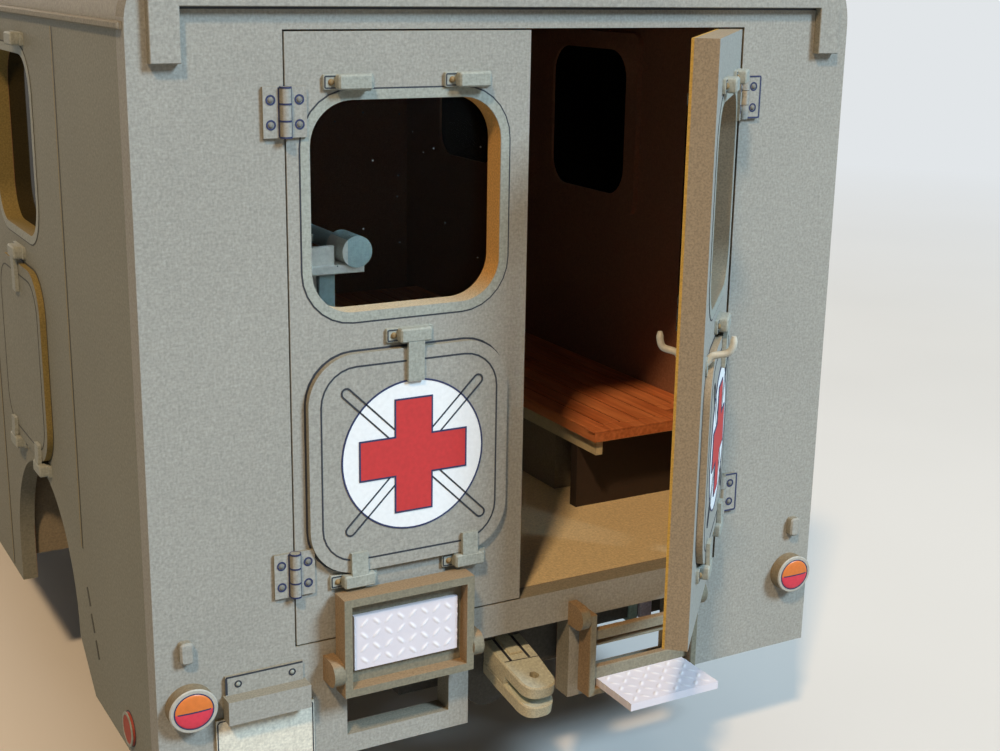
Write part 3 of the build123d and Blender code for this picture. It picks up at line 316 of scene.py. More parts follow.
# Side walls, their shutters and clips use the darker khaki copy: painted shade.
card_side = card("card_side", shaded_side_khaki, olive_edge, (1, 0, 0), inside=taupe, rim=side_rim)
card_flap = card("card_flap", shaded_side_khaki, olive_edge, (1, 0, 0))
card_tan = card("card_tan", (220, 200, 158), (226, 198, 112), (0, 0, 1))
card_cream = card("card_cream", (222, 217, 200), (170, 150, 110))
card_hook = card("card_hook", (200, 204, 188), (192, 184, 156), (0, 0.21, 0.98))
card_frame = card("card_frame", (130, 124, 105), (146, 122, 92))
card_roof = card("card_roof", khaki, sheet=None, inside=taupe)
card_plain = card("card_plain", khaki, sheet=None)
card_lilac = card("card_lilac", (214, 206, 222), sheet=None)
card_teal = card("card_teal", (158, 186, 178), sheet=None)
card_lining = card("card_lining", taupe, sheet=None)
card_well = card("card_well", (142, 130, 108), sheet=None)
card_dark = card("card_dark", (84, 82, 76), sheet=None)
card_pale = card("card_pale", (157, 160, 150), sheet=None)
card_olive = card("card_olive", (148, 134, 96), sheet=None)
groove_dark = card("groove_dark", (26, 12, 8), sheet=None)
rivet_ochre = card("rivet_ochre", (138, 116, 80), sheet=None)
rivet_grey = card("rivet_grey", (124, 124, 118), sheet=None)
drum_side = card("drum_side", (132, 118, 94), sheet=None)
print("card finishes:", len(bpy.data.materials))

# %% [markdown]
# The other finishes are few: near-black film in the windows, printed ink for the drawn
# lines, brown stained slats, paper-white treads and the lamps' orange and red.


# %% Film, ink, slats and lamps
def inked(name, face, roughness=0.6, grain=0.12, **sockets):
    """Plain printed colour with a fine unevenness of the given share."""
    finish = Finish(name, roughness, **sockets)
    point = finish.object_point()
    fine, wide = finish.noise(point, 2600.0), finish.noise(point, 90.0)
    tone = finish.times(
        finish.ramp(fine, 0.3, 0.7, 1 - grain, 1 + grain / 2),
        finish.ramp(wide, 0.3, 0.7, 1 - grain / 3, 1 + grain / 3),
    )
    return finish.close(finish.shade(colour(*face), tone), fine, 0.12)


def film(name, tint, transmission):
    """Clear or dark window film: pale specks of dust sit at the middle of some cells."""
    finish = Finish(name, 0.03, IOR=1.1)
    cells = finish.node("ShaderNodeTexVoronoi", {"Vector": finish.object_point(), "Scale": 900.0})
    chance = finish.node("ShaderNodeSeparateColor", {"Color": cells.outputs["Color"]}).outputs[0]
    speck = finish.times(
        finish.math("LESS_THAN", cells.outputs["Distance"], 0.075),
        finish.math("GREATER_THAN", chance, 0.72),
    )
    clear = finish.ramp(speck, 0.0, 1.0, transmission, 0.3 * transmission)
    finish.feed(finish.shader.inputs["Transmission Weight"], clear)
    return finish.close(finish.mix(speck, colour(*tint), colour(112, 116, 118)))


def slats():
    """Brown stained wood print: grain drawn out along the bench."""
    finish = Finish("slat_wood", 0.5, Specular_IOR_Level=0.4)
    point = finish.object_point()
    grain = finish.noise(point, 1.0, (2400, 160, 2400), detail=4.0)
    wide = finish.noise(point, 1.0, (420, 40, 420))
    paint = finish.mix(finish.ramp(grain, 0.3, 0.7), colour(222, 134, 82), colour(182, 98, 54))
    paint = finish.mix(finish.ramp(wide, 0.45, 0.7, 0.0, 0.5), paint, colour(228, 148, 94))
    return finish.close(paint, grain, 0.3)


def two_tone(name, near, far, band, roughness=0.75, darkest=0.88, relief=0.2):
    """Linen in two colours: the near one within a band, given as axis, middle and half
    width, and the far one past it."""
    finish = Finish(name, roughness)
    point = finish.object_point()
    weave = linen(finish, point)
    axis, middle, half = band
    away = finish.math("ABSOLUTE", finish.math("ADD", finish.part(point, axis), -middle * MM))
    paint = finish.mix(finish.math("GREATER_THAN", away, half * MM), colour(*near), colour(*far))
    tone = finish.ramp(weave, 0.36, 0.64, darkest, 1.06)
    return finish.close(finish.shade(paint, tone), weave, relief)


ink = inked("print_ink", (44, 48, 56))
ink_blue = inked("print_ink_blue", (38, 46, 84))
ink_olive = inked("print_ink_olive", (56, 52, 36))
white_print = inked("white_print", (240, 242, 242), grain=0.04)
red_print = inked("red_print", (196, 52, 52), grain=0.08)
lamp_orange = inked("lamp_orange", (214, 118, 52), 0.35, 0.08)
lamp_red = inked("lamp_red", (218, 60, 78), 0.35, 0.08)
reflector_red = inked("reflector_red", (168, 70, 52), 0.5)
rim_grey = inked("rim_grey", (176, 172, 160))
handle_white = inked("handle_white", (198, 194, 178), 0.45)
grip_teal = inked("grip_teal", (150, 172, 172))
tray_white = inked("tray_white", (226, 224, 216))
rubber = inked("rubber", (38, 38, 38), 0.85, 0.25)
lens_glass = inked("lens_glass", (196, 204, 206), 0.15)
mirror_glass = inked("mirror_glass", (204, 210, 214), 0.06, 0.04, Metallic=1.0)
grille_dark = inked("grille_dark", (34, 33, 31), 0.7)
clear_film = film("clear_film", (225, 230, 230), 1.0)
dark_film = film("dark_film", (10, 11, 12), 0.0)
slat_wood = slats()
canvas = two_tone("stretcher_canvas", (214, 216, 208), (166, 192, 194), (0, -21.6, 8.2), relief=0.3)
# Below 30.4 mm the bench frame is dark brown card taken down near to black: painted shade for the
# shade under the bench. The pale colour above is its top rail.
bench_card = two_tone("bench_card", (50, 36, 26), (206, 190, 152), (2, 0.0, 30.4))
rack_card = two_tone("rack_card", (150, 176, 178), (236, 236, 230), (2, 0.0, 50.0), 0.7, 0.9)
print("finishes in all:", len(bpy.data.materials))

# %% [markdown]
# Each solid of the frame takes one finish. The table goes from finish to solids, because
# most finishes serve several pieces that were cut from the same sheet.

# %% Give the solids their finishes
wheels = ("rear_left", "rear_right", "front_left", "front_right")
solid_finishes = {
    card_rear: ["rear_panel"],
    card_leaf: ["rear_door_left"],
    card_part: ["door_shutter_left", "gutters", "door_hinges", "marker_blocks", "plate_holder",
                "bumper", "door_clips_left"],
    card_side: ["side_left", "side_right"],
    card_flap: ["side_shutters", "side_clips"],
    card_roof: ["box_roof", "cab_shell", "cab_door_left", "cab_door_right"],
    card_front: ["front_bulkhead"],
    card_frame: ["step_left", "step_right"],
    card_tan: ["box_floor"],
    card_cream: ["number_plate"],
    card_dark: ["chassis_tube", "rear_axle", "front_axle", "engine_block",
                "dashboard", "steering_wheel", "cab_seats", "mirrors"],
    card_hook: ["tow_hook"],
    card_plain: ["headlamps", *(f"rim_{wheel}" for wheel in wheels)],
    card_well: ["rear_wheel_wells", "cab_floor"],
    bench_card: ["bench_frame"],
    rack_card: ["stretcher_rack"],
    canvas: ["stretcher"],
    slat_wood: ["bench"],
    rim_grey: ["tail_lamps"],
    lamp_red: ["tail_lenses"],
    white_print: ["step_treads"],
    reflector_red: ["side_reflectors"],
    clear_film: ["door_glass_left", "door_glass_right", "windscreen", "cab_glass_left",
                 "cab_glass_right"],
    dark_film: ["side_glass"],
    handle_white: ["door_handle"],
    rubber: [f"tyre_{wheel}" for wheel in wheels],
    card_leaf_open: ["rear_door_right", "door_shutter_right", "door_clips_right"],
}
for material, nodes in solid_finishes.items():
    for name in nodes:
        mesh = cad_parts[name].data
        mesh.materials.clear()
        mesh.materials.append(material)
print("solids dressed:", sum(len(nodes) for nodes in solid_finishes.values()))

# %% [markdown]
# Every fitting below is a loop of points carried out of the sheet: a card cut-out is one
# loop lifted straight up, a printed line is a flat band astride a loop, and a rivet is a
# circle that shrinks as it rises. The loops are whole arrays, so no point is set by hand.


# %% Loops
def around(angle):
    """Points at the cosine and sine of the angles."""
    return np.stack([np.cos(angle), np.sin(angle)], -1)


def rounded(width, height, radius, centre=(0, 0), count=8):
    """Rectangle whose corners are quarter circles about their own centres, anticlockwise."""
    quarter = np.linspace(0, pi / 2, count)
    angle = np.concatenate([quarter + corner * pi / 2 for corner in range(4)])
    signs = np.repeat([[1, 1], [-1, 1], [-1, -1], [1, -1]], count, axis=0)
    middles = signs * (np.array([width, height]) / 2 - radius)
    return np.array(centre) + middles + radius * around(angle)


def circle(radius, centre=(0, 0), count=32):
    """Points at equal angles, anticlockwise."""
    return np.array(centre) + radius * around(np.arange(count) * 2 * pi / count)


def half_circle(radius, start, count=24):
    """Half disc outline from a start angle, closed by its own diameter."""
    return radius * around(start + np.linspace(0, pi, count))


def capsule(start, end, width, count=8):
    """Straight bar with a half circle round each end, anticlockwise."""
    start, end = np.array(start, float), np.array(end, float)
    along = (end - start) / np.linalg.norm(end - start)
    left = np.array([-along[1], along[0]])
    cap = width / 2 * around(np.linspace(-pi / 2, pi / 2, count)) @ np.stack([along, left])
    return np.concatenate([end + cap, start - cap])


def cross(size, arm, centre):
    """Upright cross with four equal arms, anticlockwise from the right arm."""
    far, near = size / 2, arm / 2
    corner = np.array([[far, -near], [far, near], [near, near]])
    turned = [corner @ np.linalg.matrix_power([[0, 1], [-1, 0]], k) for k in range(4)]
    return np.array(centre) + np.concatenate(turned)


def grow(loop, distance):
    """Loop with each edge moved outward: corners go along the sum of their edges' normals."""
    edge = np.roll(loop, -1, 0) - loop
    after = np.stack([edge[:, 1], -edge[:, 0]], -1) / np.linalg.norm(edge, axis=1)[:, None]
    before = np.roll(after, 1, 0)
    lean = 1 + (before * after).sum(1, keepdims=True)
    return loop + distance * (before + after) / lean


def heading(path):
    """Unit direction of a path at each of its points."""
    along = np.gradient(path, axis=0)
    return along / np.linalg.norm(along, axis=1)[:, None]


def curve(points, count=24, passes=6):
    """Smooth path near few points: straight runs, then each point is moved, some passes
    over, to a quarter of each neighbour plus half of itself."""
    points = np.array(points, float)
    knots = np.linspace(0, 1, len(points))
    at = np.linspace(0, 1, count)
    path = np.stack([np.interp(at, knots, column) for column in points.T], -1)
    for _ in range(passes):
        path[1:-1] = (path[:-2] + 2 * path[1:-1] + path[2:]) / 4
    return path


print("a rivet's circle has", len(circle(1.0)), "points")


# %% Skins between loops
def skin(rings):
    """Quads between successive rings of equal counts, with a flat face over each end."""
    rings = np.asarray(rings, float)
    rows, count = rings.shape[:2]
    index = np.arange(rows * count).reshape(rows, count)
    ahead = np.roll(index, -1, 1)
    quads = np.stack([index[:-1], ahead[:-1], ahead[1:], index[1:]], -1).reshape(-1, 4)
    return rings.reshape(-1, 3), [quads, index[:1, ::-1], index[-1:]]


def hoop(rings):
    """Quads between successive rings and from the last back to the first."""
    rings = np.asarray(rings, float)
    rows, count = rings.shape[:2]
    index = np.arange(rows * count).reshape(rows, count)
    ahead, above = np.roll(index, -1, 1), np.roll(index, -1, 0)
    quads = np.stack([index, ahead, np.roll(above, -1, 1), above], -1).reshape(-1, 4)
    return rings.reshape(-1, 3), [quads]


def slab(place, loop, low, high, edge=0.0):
    """Cut-out: the loop lifted from low to high, its upper rim drawn in by edge."""
    rings = [place.ring(loop, low), place.ring(loop, high - edge)]
    if edge:
        rings.append(place.ring(grow(loop, -edge), high))
    return skin(rings)


line_width, line_height = 0.14, 0.03
board_out = 0.3


def line(place, loop, low=0.0, width=line_width, height=line_height):
    """Printed line: a flat band of the given width astride a closed loop."""
    outer, inner = grow(loop, width / 2), grow(loop, -width / 2)
    ways = ((outer, low), (outer, low + height), (inner, low + height), (inner, low))
    return hoop([place.ring(*way) for way in ways])


def stroke(place, points, low=0.0, width=line_width, height=line_height):
    """Open line: the path moved half a width to its right, then back along its left."""
    path = np.array(points, float)
    along = heading(path)
    left = np.stack([-along[:, 1], along[:, 0]], -1) * width / 2
    return slab(place, np.concatenate([path - left, (path + left)[::-1]]), low, low + height)


def board(place, us, vs, ws, edge=0.08):
    """Straight card strip between two values on each of the place's directions."""
    loop = np.array([(us[0], vs[0]), (us[1], vs[0]), (us[1], vs[1]), (us[0], vs[1])], float)
    return slab(place, loop, ws[0], ws[1], edge)


def dome(place, centre, radius, low, height, count=16, rows=4):
    """Rivet head: circles of radius cos t at height sin t, for t from 0 to 80 degrees."""
    tilt = np.linspace(0, radians(80), rows)
    rings = [circle(radius * cos(t), centre, count) for t in tilt]
    levels = low + height * np.sin(tilt)
    foot = [place.ring(rings[0], low - 0.02)]
    return skin(foot + [place.ring(ring, level) for ring, level in zip(rings, levels)])


def ribbon(path, side, width, thickness):
    """Flat strap: a rectangle carried along a path, its breadth always along side."""
    path, side = np.asarray(path, float), np.asarray(side, float)
    across = np.broadcast_to(side * width / 2, path.shape)
    up = np.cross(heading(path), side) * thickness / 2
    corners = np.stack([-across - up, -across + up, across + up, across - up], 1)
    return skin(path[:, None] + corners)


def rod(path, radius, side, count=12):
    """Round bar: circles across a path that bends in the plane whose normal is side."""
    path, side = np.asarray(path, float), np.asarray(side, float)
    other = np.cross(heading(path), side)
    angle = (np.arange(count) * 2 * pi / count)[:, None]
    size = np.broadcast_to(np.asarray(radius, float), len(path))[:, None, None]
    ring = np.cos(angle) * other[:, None] + np.sin(angle) * side
    return skin(path[:, None] + size * ring)


class Piece:
    """Gathers skins in millimetres and makes one object of them."""

    def __init__(self, name, *finishes):
        self.name, self.finishes = name, finishes
        self.points, self.faces, self.choice, self.count = [], [], [], 0

    def add(self, surface, finish=0):
        points, groups = surface
        self.points.append(points)
        for group in groups:
            self.faces += (group + self.count).tolist()
            self.choice += np.broadcast_to(finish, len(group)).tolist()
        self.count += len(points)
        return self

    def done(self, body, slot, replaces=(), smooth=35):
        mesh = bpy.data.meshes.new(self.name)
        mesh.from_pydata((np.concatenate(self.points) * MM).tolist(), [], self.faces)
        for finish in self.finishes:
            mesh.materials.append(finish)
        mesh.polygons.foreach_set("material_index", np.array(self.choice, np.int32))
        mesh.shade_smooth()
        mesh.set_sharp_from_angle(angle=radians(smooth))
        made = bpy.data.objects.new(self.name, mesh)
        bpy.context.scene.collection.objects.link(made)
        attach(made, body)
        if replaces:
            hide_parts(*replaces)
        print(f"{self.name}: {len(mesh.polygons)} faces on {body}")
        return made


print("a printed line is", line_width, "mm wide and a board of card", board_out, "mm thick")

# %% [markdown]
# The emblem is a white disc with an upright red cross, the plain sign of medical service.
# It is printed over a pressed diagonal rib, so the rib's outline runs under the cross but
# over the disc. Each print is a skin a few hundredths thick, stacked in that order.

# %% Doors: printed lines, window frame, emblem
window_u, window_v, shutter_drop = 11.45, 60.6, 21.5
rim_side, rim_radius, rim_gap, rim_width, rim_height = 17.95, 4.0, 0.45, 0.78, 0.06
shutter_size, shutter_radius, shutter_out = (18.6, 19.2), 4.2, 0.6
pressed_inset, pressed_radius, rib_width = 1.1, 3.2, 0.85
emblem_shift, emblem_radius, cross_size, cross_arm = (0.19, 0.2), 6.6, 10.0, 3.45
rib_ends = (((-5.95, 6.3), (6.7, -6.1)), ((-5.7, -5.8), (6.35, 6.1)))


def window_prints(lines, band, place, u, v):
    """Pale raised rim round a window with a line round it, and the stowed shutter below:
    a line at its foot and one drawn inside its edge."""
    rim = rounded(rim_side, rim_side, rim_radius, (u, v))
    band.add(line(place, rim, 0.0, rim_width, rim_height))
    drawn = rim_side + 2 * rim_gap
    lines.add(line(place, rounded(drawn, drawn, rim_radius + rim_gap, (u, v))))
    wide, tall = shutter_size
    spot = (u, v - shutter_drop)
    lines.add(line(place, rounded(wide + 0.15, tall + 0.15, shutter_radius, spot), 0.0, 0.2))
    pressed = rounded(wide - 2 * pressed_inset, tall - 2 * pressed_inset, pressed_radius, spot)
    lines.add(line(place, pressed, shutter_out))


def door_dress(name, place, side, body):
    """Prints of one rear door."""
    middle = np.array([side * window_u, window_v - shutter_drop])
    lines, band = Piece(f"{name}_lines", ink), Piece(f"{name}_rim", card_pale)
    window_prints(lines, band, place, side * window_u, window_v)
    spot = middle + emblem_shift
    emblem = Piece(f"{name}_emblem", white_print, red_print, ink_blue)
    disc, sign = circle(emblem_radius, spot, 72), cross(cross_size, cross_arm, spot)
    emblem.add(slab(place, disc, shutter_out, shutter_out + 0.03))
    emblem.add(line(place, disc, shutter_out, height=0.06), 2)
    for start, end in rib_ends:
        rib = capsule(middle + start, middle + end, rib_width)
        lines.add(line(place, rib, shutter_out, height=0.06))
    emblem.add(slab(place, sign, shutter_out, shutter_out + 0.09), 1)
    emblem.add(line(place, sign, shutter_out, height=0.1), 2)
    lines.done(body, "khaki_card")
    band.done(body, "khaki_card")
    emblem.done(body, "white_card")


door_dress("door_left", rear_wall, -1, "body")
door_dress("door_right", right_leaf, 1, "rear_door")

# %% [markdown]
# Each stowed shutter is held by a catch above and two clamps below, and two brackets sit
# over the window. All five are the same little fitting: a plate with a rivet, a raised
# block and, on three of them, a strap that bends over the shutter's edge.

# %% Clips
bracket_v, catch_v, clamp_v, clip_u = 10.0, -10.8, -31.8, 5.3
plate_size, block_size, block_out = (4.3, 1.2), (2.9, 1.2), 1.1
block_u, clip_rivet_u, clip_rivet = 0.3, -1.5, 0.27
strap_width, strap_thick = 1.5, 0.36
clip_table = (
    (-clip_u, bracket_v, 0.0),
    (clip_u, bracket_v, 0.0),
    (0.0, catch_v, -3.4),
    (-clip_u, clamp_v, 2.0),
    (clip_u, clamp_v, 2.0),
)


def clip(piece, place, u, v, strap):
    """Plate, rivet, block and strap of one fitting; finish 1 is ink, 2 the rivet."""
    piece.add(slab(place, rounded(*plate_size, 0.12, (u, v), 3), 0.0, board_out, 0.04))
    piece.add(line(place, rounded(0.95, 0.9, 0.08, (u - 1.55, v), 3), board_out, 0.1), 1)
    piece.add(dome(place, (u + clip_rivet_u, v), clip_rivet, board_out, 0.22), 2)
    block = rounded(*block_size, 0.2, (u + block_u, v), 4)
    piece.add(slab(place, block, board_out, block_out, 0.14))
    if strap:
        way, reach = np.sign(strap), 0.55 + abs(strap)
        steps = [(-0.2, 0.86), (0.7, 0.88), (1.0, 0.82), (0.75 * reach, 0.8), (reach, 0.8)]
        bend = curve(steps, 16)
        path = place.at(u + block_u, v + way * bend[:, 0], bend[:, 1])
        piece.add(ribbon(path, place.across * way, strap_width, strap_thick))


def clips(piece, place, u, v):
    """The five fittings round one window."""
    for across, up, strap in clip_table:
        clip(piece, place, u + across, v + up, strap)
    return piece


for name, place, way, body in (("left", rear_wall, -1, "body"),
                               ("right", right_leaf, 1, "rear_door")):
    fittings = clips(Piece(f"fittings_door_{name}", card_pale, ink, rivet_ochre),
                     place, way * window_u, window_v)
    fittings.done(body, "khaki_card", [f"door_clips_{name}"])

# %% [markdown]
# The two side walls take the same prints and clips, and the joints of their panels with a
# light edge beside each. Near the wheel arch the joint ends in three short dashes.

# %% Side walls
side_window_v, side_window_y = 62.4, (-24.385, 6.115)
joint_top, joint_feet = 74.0, ((-43.1, 26.6), (-9.1, skirt + 0.4), (21.4, skirt + 0.4))
joint_width, light_width, light_shift = 0.3, 0.34, 0.32
dash_tops, dash_back, dash_fall = ((-43.9, 23.0), (-44.9, 20.7), (-46.1, 18.5)), 0.85, 1.6
side_fittings = Piece("fittings_sides", card_pale, ink, rivet_ochre)
side_lines, side_rims = Piece("side_lines", ink_olive), Piece("side_rims", card_pale, card_olive)
for wall, way in side_walls:
    for y in side_window_y:
        window_prints(side_lines, side_rims, wall, way * y, side_window_v)
        clips(side_fittings, wall, way * y, side_window_v)
    for y, foot in joint_feet:
        joint = [(way * y, foot), (way * y, joint_top)]
        side_lines.add(stroke(wall, joint, width=joint_width))
        light = way * (y + light_shift)
        side_rims.add(stroke(wall, [(light, foot), (light, joint_top)], width=light_width), 1)
    for y, z in dash_tops:
        dash = [(way * y, z), (way * (y - dash_back), z - dash_fall)]
        side_lines.add(stroke(wall, dash, width=0.5))
side_fittings.done("body", "khaki_card", ["side_clips"])
side_lines.done("body", "khaki_card")
side_rims.done("body", "khaki_card")

# %% [markdown]
# The hinges are printed leaves with two dark-ringed rivets each, and a column of knuckles
# ruled off by dark lines. Only the rings stand proud, so the solids' own hinges stay.

# %% Hinges
hinge_v = (68.4, 30.2)
rivet_u, rivet_v = 1.18, 0.95
knuckle, knuckle_gap, leaf_half, leaf_print_size = 0.45, 0.65, 1.9, (1.34, 3.7)


def leaf_print(piece, place, u, v):
    """Two rivets with dark rings on a hinge leaf."""
    for up in (-rivet_v, rivet_v):
        piece.add(dome(place, (u, v + up), 0.24, board_out, 0.14))
        piece.add(line(place, circle(0.34, (u, v + up), 16), board_out, 0.13), 1)


def knuckle_rings(piece, place, u, v):
    """Dark rings that rule off the knuckles, each a thin square hoop round the pin."""
    angle = np.arange(20) * 2 * pi / 20
    for step in (-leaf_half, -knuckle_gap, knuckle_gap, leaf_half):
        rings = []
        for grown, half in ((0.03, -0.07), (0.03, 0.07), (-0.02, 0.07), (-0.02, -0.07)):
            across, out = (knuckle + grown) * around(angle).T
            rings.append(place.at(u + across, v + step + half, hinge_stand - out))
        piece.add(hoop(rings), 1)


hinge_prints = Piece("hinge_prints", rivet_grey, ink_blue)
leaf_prints = Piece("hinge_prints_door", rivet_grey, ink_blue)
for v in hinge_v:
    for way in (-1, 1):
        leaf_print(hinge_prints, rear_wall, -hinge_x + way * rivet_u, v)
        fold_and_shadow_line = [(-hinge_x + way * 0.52, v - leaf_half), (-hinge_x + way * 0.52, v + leaf_half)]
        hinge_prints.add(stroke(rear_wall, fold_and_shadow_line, board_out, 0.1), 1)
    leaf_print(hinge_prints, rear_wall, hinge_x + rivet_u, v)
    outline = rounded(*leaf_print_size, 0.1, (hinge_x + rivet_u + 0.1, v), 3)
    hinge_prints.add(line(rear_wall, outline, board_out), 1)
    leaf_print(leaf_prints, right_leaf, hinge_x - rivet_u, v)
    knuckle_rings(hinge_prints, rear_wall, -hinge_x, v)
hinge_prints.done("body", "khaki_card")
leaf_prints.done("rear_door", "khaki_card")

# %% [markdown]
# The gutter is one strip across the rear with a tab at each end, and a thin strip along
# each side. Its rear outline is half a loop and the same points mirrored. The plate holder
# has a fold line, two rivets and an outline round its plate.

# %% Gutters and plate
tab_edges, gutter_low, gutter_top, tab_low = (30.25, 32.6), 76.3, 77.6, 72.2
gutter_out, strip_tall, strip_v, strip_out = 0.8, 0.6, 74.9, 0.4
half_loop = np.array([(tab_edges[0], gutter_low), (tab_edges[0], tab_low),
                      (tab_edges[1], tab_low), (tab_edges[1], gutter_top)])
gutters = Piece("gutter_strips", card_part)
rear_loop = np.concatenate([half_loop, half_loop[::-1] * (-1, 1)])
gutters.add(slab(rear_wall, rear_loop, 0.0, gutter_out, 0.06))
for wall, way in side_walls:
    ends = sorted((way * (y_rear + 0.5), way * y_box))
    strip = rounded(ends[1] - ends[0], strip_tall, 0.12, (sum(ends) / 2, strip_v), 3)
    gutters.add(slab(wall, strip, 0.0, strip_out, 0.12))
gutters.done("body", "khaki_card", ["gutters"])
plate_u, fold_v, screw_v, screw_us = -0.731 * half_width, 22.14, 21.4, (-2.35, 2.45)
plate = Piece("plate_details", card_pale, ink)
outline = rounded(8.5, 5.9, 0.3, (plate_u, skirt + 3.1), 4)
plate.add(line(rear_wall, outline, board_out, 0.1), 1)
plate.add(stroke(rear_wall, [(plate_u - 3.4, fold_v), (plate_u + 3.4, fold_v)], board_out), 1)
plate.add(stroke(rear_wall, [(plate_u - 3.38, 20.6), (plate_u - 3.38, 22.1)], board_out, 0.2), 1)
for shift in screw_us:
    plate.add(dome(rear_wall, (plate_u + shift, screw_v), 0.2, board_out, 0.1))
    plate.add(line(rear_wall, circle(0.27, (plate_u + shift, screw_v), 16), board_out, 0.12), 1)
plate.done("body", "white_card")
# A dark line drawn on the wall just under the rear gutter strip: painted shadow of the strip.
gutter_shadow = Piece("gutter_shadow_line", ink)
fold_and_shadow_line = [(-tab_edges[1] + 0.2, gutter_low - 0.1), (tab_edges[1] - 0.2, gutter_low - 0.1)]
gutter_shadow.add(stroke(rear_wall, fold_and_shadow_line, width=0.2))
gutter_shadow.done("body", "khaki_card")

# %% [markdown]
# Each tail lamp is a round box with a lens that is orange above and red below, parted by a
# dark bar. The lens is a low dome, whose faces take one colour or the other by their angle.

# %% Lamps
lamp_u, lamp_v, lamp_flat = 31.5, 20.3, 0.93
drum_radius, lens_radius, drum_depth, lens_rise = 2.05, 1.62, 1.38, 0.2
lamps = Piece("tail_lamp_drums", rim_grey, drum_side)
lenses = Piece("lamp_lenses", lamp_orange, lamp_red, ink_blue)
count, rows = 48, 7
for way in (-1, 1):
    spot = Place((way * lamp_u, y_rear, lamp_v), (1, 0, 0), (0, 0, lamp_flat))
    lamps.add(slab(spot, circle(drum_radius, count=64), 0.0, drum_depth - 0.1), 1)
    ring = circle(drum_radius + 0.02, count=64)
    lamps.add(slab(spot, ring, drum_depth - 0.12, drum_depth, 0.1))
    points, faces = dome(spot, (0, 0), lens_radius, drum_depth, lens_rise, count, rows)
    lower = (np.arange(len(faces[0])) % count) >= count // 2
    lenses.add((points, faces[:1]), lower.astype(int))
    for half, shade in ((0, 0), (pi, 1)):
        crown = half_circle(lens_radius * cos(radians(80)) + 0.02, half)
        lenses.add(slab(spot, crown, 1.45, 1.578), shade)
    lenses.add(line(spot, circle(lens_radius + 0.04, count=48), drum_depth, 0.1), 2)
    arc = np.linspace(-1, 1, 13)
    rise = drum_depth + lens_rise * np.sqrt(np.clip(1 - arc**2, 0, 1)) + 0.005
    lenses.add(ribbon(spot.at(lens_radius * 0.98 * arc, 0, rise), (0, 0, 1), 0.11, 0.03), 2)
lamps.done("body", "dark_card", ["tail_lamps"])
lenses.done("body", "lens_card", ["tail_lenses"])

# %% [markdown]
# Beside the lamps sit two small marker blocks, and each side wall has a round reflector
# with a raised rim and a dark line round it.

# %% Marker blocks and the rims of the side reflectors
block_inset, block_v, reflector_spot, reflector_radius = 2.5, 25.2, (-56.99, 14.7), 1.5
blocks = Piece("marker_tabs", card_part)
reflector_rims = Piece("reflector_rims", card_pale, ink)
for wall, way in side_walls:
    block = rounded(1.15, 1.9, 0.35, (way * (half_width - block_inset), block_v), 5)
    blocks.add(slab(rear_wall, block, 0, 0.78, 0.16))
    disc = circle(reflector_radius, (way * reflector_spot[0], reflector_spot[1]), 40)
    reflector_rims.add(line(wall, grow(disc, -0.08), 0.24, 0.24, 0.1))
    reflector_rims.add(line(wall, grow(disc, 0.06), 0.0, 0.12), 1)
blocks.done("body", "khaki_card", ["marker_blocks"])
reflector_rims.done("body", "khaki_card")

# %% [markdown]
# The treads are printed tread plate. Real tread plate has crossed lozenges, turned one way
# and the other like a chessboard, so the height is worked out per lozenge and the same
# number is kept as an attribute that whitens the ridges.


# %% Tread plates
def lozenges(u, v, pitch=1.15):
    """Ridge height 0 to 1: an ellipse in each square cell, turned 45 degrees left or right
    as the cell's row and column add up to an even or an odd number."""
    a, b = u / pitch, v / pitch
    odd = (np.floor(a) + np.floor(b)) % 2
    p, q = a - np.floor(a) - 0.5, b - np.floor(b) - 0.5
    long, short = np.where(odd, p + q, p - q), np.where(odd, p - q, p + q)
    return np.clip(1.1 - (long / 0.62) ** 2 - (short / 0.2) ** 2, 0, 1)


def tread_finish():
    """Paper white, greyer between the ridges, from the piece's own ridge attribute."""
    finish = Finish("tread_print", 0.55)
    ridge = finish.node("ShaderNodeAttribute", attribute_name="ridge").outputs["Fac"]
    point = finish.object_point()
    cloud = finish.ramp(finish.noise(point, 700.0, detail=3.0), 0.35, 0.65, 0.0, 0.35)
    paint = finish.mix(ridge, colour(222, 216, 222), colour(246, 242, 242))
    return finish.close(finish.mix(cloud, paint, colour(232, 226, 230)), cloud, 0.1)


def tread(name, place, middle, size, low, high):
    """Plate whose top is a fine grid raised by the lozenges, over a plain rim and underside."""
    columns, rows, relief = 120, 64, 0.06
    u = np.linspace(-size[0] / 2, size[0] / 2, columns)
    v = np.linspace(-size[1] / 2, size[1] / 2, rows)
    u, v = np.meshgrid(u, v, indexing="ij")
    ridge = lozenges(u, v)
    top = place.at(middle[0] + u, middle[1] + v, high - relief + relief * ridge)
    index = np.arange(columns * rows).reshape(columns, rows)
    quads = np.stack([index[:-1, :-1], index[1:, :-1], index[1:, 1:], index[:-1, 1:]], -1)
    rim = np.concatenate([index[:-1, 0], index[-1, :-1], index[:0:-1, -1], index[0, :0:-1]])
    under = place.at(middle[0] + u, middle[1] + v, low).reshape(-1, 3)[rim]
    below = np.arange(len(rim)) + columns * rows
    walls = np.stack([below, np.roll(below, -1), np.roll(rim, -1), rim], -1)
    points = np.concatenate([top.reshape(-1, 3), under])
    plate = Piece(name, tread_print).add((points, [quads.reshape(-1, 4), walls, below[None, ::-1]]))
    layer = plate.done("body", "tread_card", ["step_treads"]).data.attributes.new(
        "ridge", "FLOAT", "POINT")
    heights = np.concatenate([ridge.ravel(), np.zeros(len(rim))])
    layer.data.foreach_set("value", heights.astype(np.float32))


